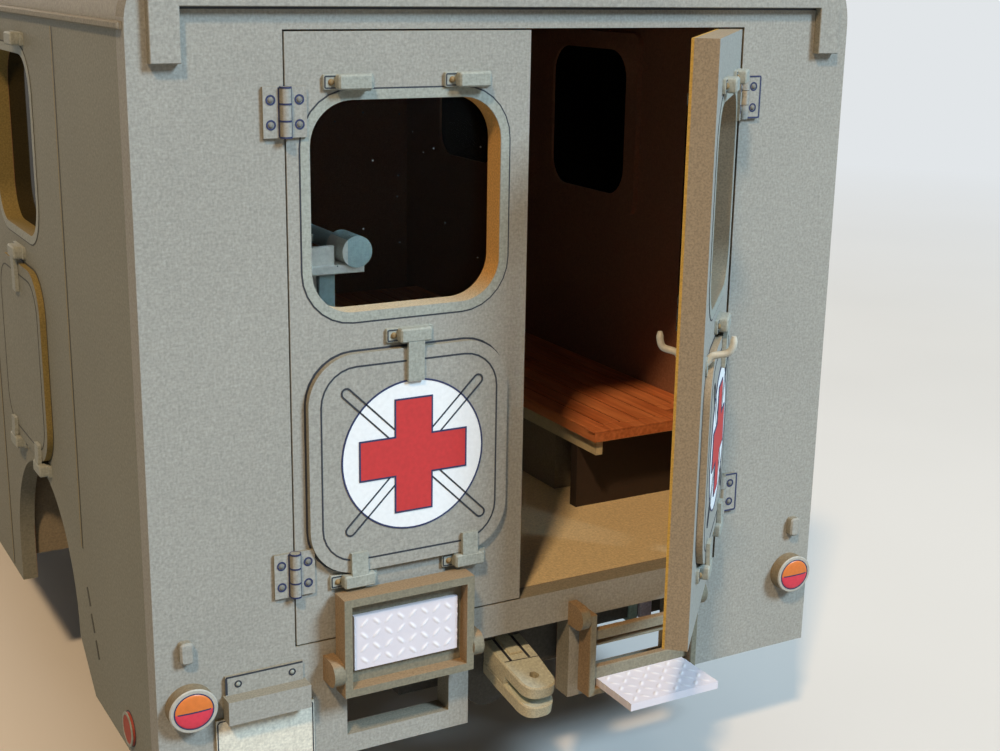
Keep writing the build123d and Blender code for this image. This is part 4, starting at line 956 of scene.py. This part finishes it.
tread_print = tread_finish()
step_u, tread_width = 0.3626 * half_width, 9.9
tread("tread_folded", rear_wall, (-step_u, 23.4), (tread_width, 5.0), 1.2, 1.7)
tread("tread_lowered", floor_up, (step_u, y_rear - 4.1), (tread_width, 7.2), 13.8, 14.6)

# %% [markdown]
# The lowered step hangs from two bosses. Its side bars, rails and bosses are the same card
# cut-outs as before, lifted sideways or outward. Through the opening behind it shows the
# end of a case under the floor.

# %% Lowered step
hanging = Piece("step_lowered", card_frame)
bar, boss_out, boss_radius, boss_width = 0.7, 1.5, 1.15, 1.0
bar_heights, bar_depths, boss_v, step_half = (13.1, 21.4), (0.5, 2.5), 21.0, 6.2
step_left_end, step_right_end = step_u - step_half, step_u + step_half
for left, boss in ((step_left_end, step_left_end - boss_width),
                   (step_right_end - bar, step_right_end)):
    hanging.add(board(rear_wall, (left, left + bar), bar_heights, bar_depths))
    face = Place((boss, y_rear, boss_v), (0, 1, 0))
    curl = boss_radius * around(np.linspace(pi / 2, 3 * pi / 2, 14)) - (boss_out, 0)
    root = [(0, -boss_radius), (0, boss_radius)]
    hanging.add(slab(face, np.concatenate([curl, root]), 0, boss_width, 0.1))
span = (step_left_end + 0.6, step_right_end - 0.6)
rails = (((18.5, 19.5), (1.2, 1.9)), ((17.7, 17.95), (0.7, 1.5)), ((14.5, 15.7), (1.2, 1.9)),
         ((13.15, 13.8), (0.55, 2.45)))
for heights, depths in rails:
    hanging.add(board(rear_wall, span, heights, depths))
hanging.done("body", "khaki_card", ["step_right"])
case = Piece("under_floor_case", card_dark, card_lilac, card_teal)
under = Place((0, y_rear + 5.0, 0), (1, 0, 0))
case_body = ((8.0, 24.0), (16.3, 22.25), (-6.0, 0.0))
case_pale_strap = ((16.7, 18.1), (16.2, 22.2), (-4.0, 0.5))
case_teal_strap = ((15.5, 16.5), (15.9, 22.2), (-4.0, 0.3))
for finish, sides in enumerate((case_body, case_pale_strap, case_teal_strap)):
    case.add(board(under, *sides), finish)
case.done("body", "dark_card")

# %% [markdown]
# The tow hook is a clevis: two jaws with one hole through both. Each jaw is a ring between
# its outline and the hole, whose points look out from the hole's middle at the same angles,
# so the flat face between them has no crossing edges.

# %% Tow hook
droop, hook_length, hook_half = radians(12.0), 6.2, 1.95
hook_place = Place((0, y_rear - 2.7, skirt + 4.8), (1, 0, 0), (0, cos(droop), sin(droop)))
hook = Piece("tow_clevis", card_hook, ink)


def jaw_outline(tip=2.0, count=28):
    """Round-cornered tip, |cos|^0.7 wide and |sin|^0.8 deep, on a tapering shank."""
    across, along = around(np.linspace(pi, 2 * pi, count)).T
    wide = np.sign(across) * np.abs(across) ** 0.7 * hook_half * 0.9
    nose = np.stack([wide, -tip * np.abs(along) ** 0.8], -1)
    shank = hook_half * np.array([[1, 0], [1, 0], [-1, 0], [-1, 0]])
    shank[:, 1] = (3.0, hook_length, hook_length, 3.0)
    return np.concatenate([nose, shank])


def jaw(outline, low, high, hole=0.48, edge=0.14):
    """Ring between the outline and the hole, bevelled along its upper rim."""
    bore = hole * outline / np.linalg.norm(outline, axis=1)[:, None]
    ways = ((outline, low), (outline, high - edge), (grow(outline, -edge), high), (bore, high),
            (bore, low))
    return hoop([hook_place.ring(*way) for way in ways])


hook.add(jaw(jaw_outline(), -1.15, 0.0))
hook.add(jaw(jaw_outline(2.15), -3.2, -2.05))
hook.add(board(hook_place, (-1.9, 1.9), (2.0, hook_length), (-2.1, -1.1)))
hook.add(board(hook_place, (-0.72, 0.6), (3.3, hook_length), (-0.1, 0.22)))
for across in (-1.02, 0.9):
    hook.add(stroke(hook_place, [(across, 2.5), (across, 6.0)], width=0.26), 1)
hook.add(stroke(hook_place, [(-1.7, 2.55), (1.75, 2.35)], width=0.07), 1)
hook.done("body", "khaki_card", ["tow_hook"])

# %% [markdown]
# The door handle is one bent rod through the leaf. The path is eased between a few points,
# and circles are carried along it, a little smaller at both ends.

# %% Door handle
handle_u, handle_steps, handle_radius = 3.25, 60, 0.31
reach = [(-3.95, 50.6), (-3.93, 49.8), (-3.7, 49.25), (-3.2, 49.1), (-2.4, 48.95),
         (-2.1, 48.2), (-1.7, 47.8), (-0.6, 47.8), (0.0, 48.1), (0.35, 48.8),
         (0.9, 48.95), (1.5, 49.05), (1.9, 49.3), (2.12, 49.8), (2.15, 50.6)]
bend = curve([(height, out) for out, height in reach], handle_steps, 3)
swell = handle_radius * np.minimum(1, 0.6 + 0.2 * np.arange(handle_steps))
swell = np.minimum(swell, swell[::-1])
handle = Piece("door_lever", handle_white, card_pale)
handle.add(rod(right_leaf.at(handle_u, bend[:, 0], bend[:, 1]), swell, right_leaf.across))
for low, high in ((0.0, 0.14), (-2.34, -2.2)):
    handle.add(slab(right_leaf, circle(0.85, (handle_u, 47.95), 24), low, high), 1)
handle.done("rear_door", "handle_card", ["door_handle"])

# %% [markdown]
# Inside the box, frames of brown card hold the side panes. A white tray with a teal leg
# carries the end of the stretcher's pole.

# %% Window linings and the stretcher's tray
lining_side, lining_hole = 20.4, (15.9, 16.5)
lining = Piece("window_linings", card_lining)
for way in (-1, 1):
    wall = Place((way * inner_half, 0, 0), (0, -way, 0))
    for y in side_window_y:
        spot = (-way * y, side_window_v)
        outer = rounded(lining_side, lining_side, 1.2, spot)
        inner = rounded(*lining_hole, 3.2, spot)
        steps = ((outer, 0.02), (outer, 0.62), (inner, 0.62), (inner, 0.3))
        lining.add(hoop([wall.ring(*step) for step in steps]))
lining.done("body", "khaki_card")
tray = Piece("stretcher_tray", tray_white, grip_teal)
stand = Place((0, low_corner("stretcher")[1] + 0.3, 0), (1, 0, 0))
tray_shelf = ((-20.0, -11.7), (53.5, 54.3), (-1.7, 0.0))
tray_lip = ((-20.0, -14.3), (54.2, 55.9), (-1.1, -0.5))
tray_leg = ((-15.8, -14.3), (45.6, 53.6), (-1.1, -0.5))
for sides, finish in ((tray_shelf, 0), (tray_lip, 0), (tray_leg, 1)):
    tray.add(board(stand, *sides), finish)
tray.done("body", "grey_card")

# %% [markdown]
# The bench is a brown board with seven slats ruled by dark grooves. Its near corner is cut
# away, so the last two slats start further in, and a cross slat closes both ends.

# %% Bench
left_edge, rear_end, bench_foot = low_corner("bench")
right_edge, front_end, bench_top = high_corner("bench")
slat_count, slat_drop, groove = 7, 0.2, 0.15
corner, corner_width, short_slats = 3.6, 5.0, 2
slat_pitch = (right_edge - left_edge) / slat_count
levels = (bench_top - slat_drop, bench_top)
cut_x, cut_y = right_edge - corner_width, rear_end + corner
shape = np.array([(left_edge, rear_end), (cut_x, rear_end), (cut_x, cut_y), (right_edge, cut_y),
                  (right_edge, front_end), (left_edge, front_end)])
bench = Piece("bench_slats", slat_wood, groove_dark)
bench.add(slab(floor_up, shape, bench_foot, bench_top - 0.24))
bench.add(slab(floor_up, grow(shape, -0.3), bench_top - 0.24, bench_top - 0.16), 1)
for slat in range(slat_count):
    first = left_edge + slat * slat_pitch + (groove if slat else 0.0)
    last = left_edge + (slat + 1) * slat_pitch - (groove if slat < slat_count - 1 else 0.0)
    short = slat >= slat_count - short_slats
    start = rear_end + (5.4 if short else 1.6 + 0.5 * (slat % 2))
    near = cut_y if short else rear_end
    bench.add(board(floor_up, (first, last), (start, front_end - 1.5), levels, 0.05))
    cross_slat = (first - groove, last + groove)
    bench.add(board(floor_up, cross_slat, (near, start - 0.2), levels, 0.04))
bench.add(board(floor_up, (left_edge, right_edge), (front_end - 1.4, front_end), levels, 0.05))
bench.done("body", "bench_card", ["bench"])

# %% [markdown]
# The cab is out of the photograph, so it has only what such a truck plainly needs: lamp
# glasses, a dark mesh behind the grille, indicators, wipers, mirror glass and printed lines.

# %% Cab fittings
screen_lean, side_lean = radians(14.67), radians(11.07)
screen_y, screen_z, fender_y, mirror_y = 66.91, 43.2, 76.91, 60.21
head_u, head_v, head_radius, indicator_v, pane_u = 25.0, 24.8, 2.36, 19.4, 13.5
grille_v, mirror_u, mirror_v, mirror_radius = 24.1, 37.1, 49.2, 1.75
screen = Place((0, screen_y, screen_z), (-1, 0, 0), (0, -sin(screen_lean), cos(screen_lean)))
fender = Place((0, fender_y, 0), (-1, 0, 0))
nose = Place((0, y_nose, 0), (-1, 0, 0))
behind = Place((0, mirror_y, 0), (1, 0, 0))
cab_lines = Piece("cab_lines", ink)
cab_fittings = Piece("cab_fittings", grille_dark, rim_grey, lamp_orange, mirror_glass, rubber)
head_glass = Piece("headlamp_glass", lens_glass, ink)
cab_lines.add(line(nose, rounded(23.4, 14.4, 1.2, (0, grille_v))))
cab_fittings.add(slab(nose, rounded(22.8, 13.8, 0.8, (0, grille_v)), -1.5, -1.15))
for (wall, way), name in zip(side_walls, ("left", "right")):
    cab_lines.add(line(screen, rounded(26.2, 15.2, 2.1, (way * pane_u, 10.5))))
    head = (way * head_u, head_v)
    head_glass.add(dome(fender, head, head_radius, 0.9, 0.62, 40, 6))
    head_glass.add(line(fender, circle(head_radius + 0.36, head, 48), 1.4, 0.1), 1)
    cab_fittings.add(slab(fender, circle(1.1, (way * head_u, indicator_v)), 0.0, 0.5, 0.08), 1)
    cab_fittings.add(dome(fender, (way * head_u, indicator_v), 0.88, 0.5, 0.3, 28), 2)
    glass = circle(mirror_radius, (way * mirror_u, mirror_v), 40)
    cab_fittings.add(slab(behind, glass, 0.0, 0.07, 0.03), 3)
    pivot = way * pane_u + 3.4
    blade = screen.at(pivot - np.linspace(10.5, 1.5, 6), np.linspace(4.5, 5.4, 6), -0.75)
    cab_fittings.add(ribbon(blade, screen.out, 0.5, 0.16), 4)
    arm = curve([(0.0, 2.4, 0.12), (-0.3, 2.9, 0.3), (-1.6, 4.0, 0.1), (-5.4, 4.95, -0.45)], 14)
    arm_path = screen.at(pivot + arm[:, 0], arm[:, 1], arm[:, 2])
    cab_fittings.add(rod(arm_path, 0.14, screen.across), 4)
    cab_fittings.add(slab(screen, circle(0.45, (pivot, 2.4), 16), 0.0, 0.3, 0.08), 4)
    door_lines = Piece(f"cab_door_lines_{name}", ink)
    pane = Place((way * 32.44, 0, 52.2), (0, way, 0), (-way * sin(side_lean), 0, cos(side_lean)))
    door_lines.add(line(pane, rounded(20.1, 15.7, 2.7, (way * 42.96, 0.0))))
    door_lines.add(line(wall, rounded(17.0, 7.8, 1.4, (way * 42.6, 34.7))))
    door_lines.done(f"cab_door_{name[0]}", "khaki_card")
cab_lines.done("body", "khaki_card")
cab_fittings.done("body", "dark_card")
head_glass.done("body", "lens_card")

# %% [markdown]
# A tyre is a profile carried round the axle. Its tread blocks are part of the same surface:
# the radius rises where a wave round the wheel, slanted by the place across it, is high.

# %% Tyres and wheel nuts
axle_height, tyre_middle, rim_face, nut_circle = 12.6, 25.0, 26.3, 4.4
block_height, block_count, shoulder_radius = 0.38, 24, 11.2
axle_y = {"rear": -26.69, "front": 57.71}
half_profile = [(0.0, 12.2), (2.3, 12.15), (2.75, 11.9), (3.05, 11.3), (3.2, 10.2), (3.18, 8.6),
                (3.0, 7.4), (2.6, 7.02)]
profile = np.array([(-x, r) for x, r in half_profile[:0:-1]] + half_profile)


def tyre(centre, way, steps_round=288, steps_across=34):
    """Grid of angle by profile: x across, r = profile radius + block height times a clipped
    cosine of block_count times the angle, shifted by the distance from the middle, cut by
    a groove on each side of it, and fading out below the shoulder."""
    steps = np.concatenate([[0], np.cumsum(np.linalg.norm(np.diff(profile, axis=0), axis=1))])
    at = np.linspace(0, steps[-1], steps_across)
    x, r = (np.interp(at, steps, column) for column in profile.T)
    angle, x = np.meshgrid(np.arange(steps_round) * 2 * pi / steps_round, x, indexing="ij")
    wave = np.cos(block_count * angle + 2.2 * np.abs(x))
    block = np.clip(3.2 * wave + 0.9, 0, 1) * (np.abs(np.abs(x) - 0.35) > 0.28)
    radius = r + block_height * block * np.clip((r - shoulder_radius) / 0.7, 0, 1)
    grid = np.stack([way * x, -radius * np.sin(angle), radius * np.cos(angle)], -1) + centre
    return hoop(grid.transpose(1, 0, 2)[::way])


for name in wheels:
    way, y = (-1 if "left" in name else 1), axle_y[name.split("_")[0]]
    wheel = Piece(f"road_tyre_{name}", rubber)
    wheel.add(tyre((way * tyre_middle, y, axle_height), way))
    wheel.done(f"wheel_{name}", "tyre_card", [f"tyre_{name}"], smooth=28)
    disc = Place((way * rim_face, y, axle_height), (0, way, 0))
    nuts = Piece(f"wheel_nuts_{name}", card_pale, ink)
    for spot in circle(nut_circle, count=8):
        nuts.add(dome(disc, spot, 0.4, 0.0, 0.34))
    for radius, level in ((5.9, 0.0), (2.25, 1.3)):
        nuts.add(line(disc, circle(radius, count=64), level), 1)
    nuts.done(f"wheel_{name}", "khaki_card")

# %% [markdown]
# The floor is a pale sheet that fades into the backdrop. It is dimmer for every ray but
# the camera's, so that it throws little light back up on the card.

# %% Floor
floor_radius, fade_from, fade_to = 2400.0, 200.0, 500.0
backdrop_colour = colour(226, 230, 233)


def pale_floor():
    """Two close greys in wide clouds, lighter left of the model as a painted pool of light,
    and the backdrop's own colour where the distance from the middle is large."""
    finish = Finish("pale_floor", 0.9, Specular_IOR_Level=0.1)
    point = finish.object_point()
    clouds = finish.ramp(finish.noise(point, 14.0), 0.3, 0.7)
    paint = finish.mix(clouds, colour(214, 210, 204), colour(218, 214, 208))
    # Painted pool of light: the floor is made lighter left of the model.
    painted_light_left = finish.ramp(finish.part(point, 0), -20 * MM, -42 * MM)
    paint = finish.mix(painted_light_left, paint, colour(246, 243, 238))
    seen = finish.node("ShaderNodeLightPath").outputs["Is Camera Ray"]
    finish.close(finish.mix(seen, colour(166, 162, 156), paint))
    away = finish.node("ShaderNodeVectorMath", {0: point}, operation="LENGTH").outputs["Value"]
    far = finish.times(finish.ramp(away, fade_from * MM, fade_to * MM), seen)
    glow = finish.node("ShaderNodeEmission", {"Color": backdrop_colour}).outputs["Emission"]
    layers = {0: far, 1: finish.shader.outputs["BSDF"], 2: glow}
    blend = finish.node("ShaderNodeMixShader", layers).outputs["Shader"]
    finish.feed(finish.tree.nodes["Material Output"].inputs["Surface"], blend)
    return finish.material


loop = circle(floor_radius, count=64)
mesh = bpy.data.meshes.new("floor")
mesh.from_pydata((floor_up.ring(loop, -0.02) * MM).tolist(), [], [list(range(len(loop)))])
mesh.materials.append(pale_floor())
floor = bpy.data.objects.new("floor", mesh)
bpy.context.scene.collection.objects.link(floor)
print("floor disc of", len(loop), "points")

# %% [markdown]
# Three lamps light the card. A small warm one on the left throws the edged shadow to the
# right, a wide cool one on the right fills that shadow with blue, and a very wide one in
# front brightens the inside through the windows. The world adds a little all round, and is
# seen at full strength only by the camera, in gloss and through the film.


# %% Lamps and world
def facing(side, above, away, place):
    """Matrix of a lamp or camera that looks against the direction away."""
    pose = np.eye(4)
    pose[:3, :3] = np.stack([side, above, away], -1)
    pose[:3, 3] = np.array(place) * MM
    return Matrix(pose.tolist())


rear_middle = np.array([0.0, -60.0, 40.0])


def lamp(name, bearing, height, power, size, tint, distance=1700.0):
    """Square area lamp at a bearing and height, in degrees, round the rear face's middle."""
    bearing, height = radians(bearing), radians(height)
    away = np.array([sin(bearing) * cos(height), cos(bearing) * cos(height), sin(height)])
    side = np.cross((0, 0, 1), away)
    side /= np.linalg.norm(side)
    light = bpy.data.lights.new(name, "AREA")
    light.size, light.energy, light.color = size * MM, power, colour(*tint)[:3]
    shine = bpy.data.objects.new(name, light)
    bpy.context.scene.collection.objects.link(shine)
    shine.matrix_world = facing(side, np.cross(away, side), away, rear_middle + distance * away)


lamp("warm_left", -138.0, 50.0, 18.0, 130, (255, 218, 172))
lamp("cool_right", 146.0, 38.0, 34.0, 460, (202, 232, 255))
lamp("front_fill", 6.0, 13.0, 26.0, 1000, (240, 238, 232))
world = bpy.data.worlds.new("studio")
bpy.context.scene.world = world
world.use_nodes = True
tree = world.node_tree
backdrop = tree.nodes["Background"]
backdrop.inputs["Color"].default_value = backdrop_colour
rays = tree.nodes.new("ShaderNodeLightPath")
seen = rays.outputs["Is Camera Ray"]
for kind in ("Is Glossy Ray", "Is Transmission Ray"):
    either = tree.nodes.new("ShaderNodeMath")
    either.operation = "MAXIMUM"
    tree.links.new(seen, either.inputs[0])
    tree.links.new(rays.outputs[kind], either.inputs[1])
    seen = either.outputs[0]
world_light, world_seen = 0.08, 1.0
strength = tree.nodes.new("ShaderNodeMapRange")
strength.inputs["To Min"].default_value = world_light
strength.inputs["To Max"].default_value = world_seen
tree.links.new(seen, strength.inputs["Value"])
tree.links.new(strength.outputs["Result"], backdrop.inputs["Strength"])
print("lamps:", len(bpy.data.lights))

# %% [markdown]
# The camera's place and its three angles were fitted to the photograph, by points that are
# known both on the solids and in the picture.

# %% Camera
yaw, dip, roll = radians(29.479), radians(15.241), radians(0.9624)
ahead = np.array([sin(yaw) * cos(dip), cos(yaw) * cos(dip), -sin(dip)])
level = np.array([cos(yaw), -sin(yaw), 0])
upward = np.cross(level, ahead)
right = level * cos(roll) + upward * sin(roll)
above = -level * sin(roll) + upward * cos(roll)
eye = bpy.data.cameras.new("photo_view")
eye.lens, eye.sensor_width, eye.clip_start = 53.6, 36.0, 0.005
camera = bpy.data.objects.new("photo_view", eye)
bpy.context.scene.collection.objects.link(camera)
camera.matrix_world = facing(right, above, -ahead, (-64.32, -174.80, 79.23))
bpy.context.scene.camera = camera
bpy.context.scene.view_settings.view_transform = "Standard"
print("camera lens:", eye.lens)
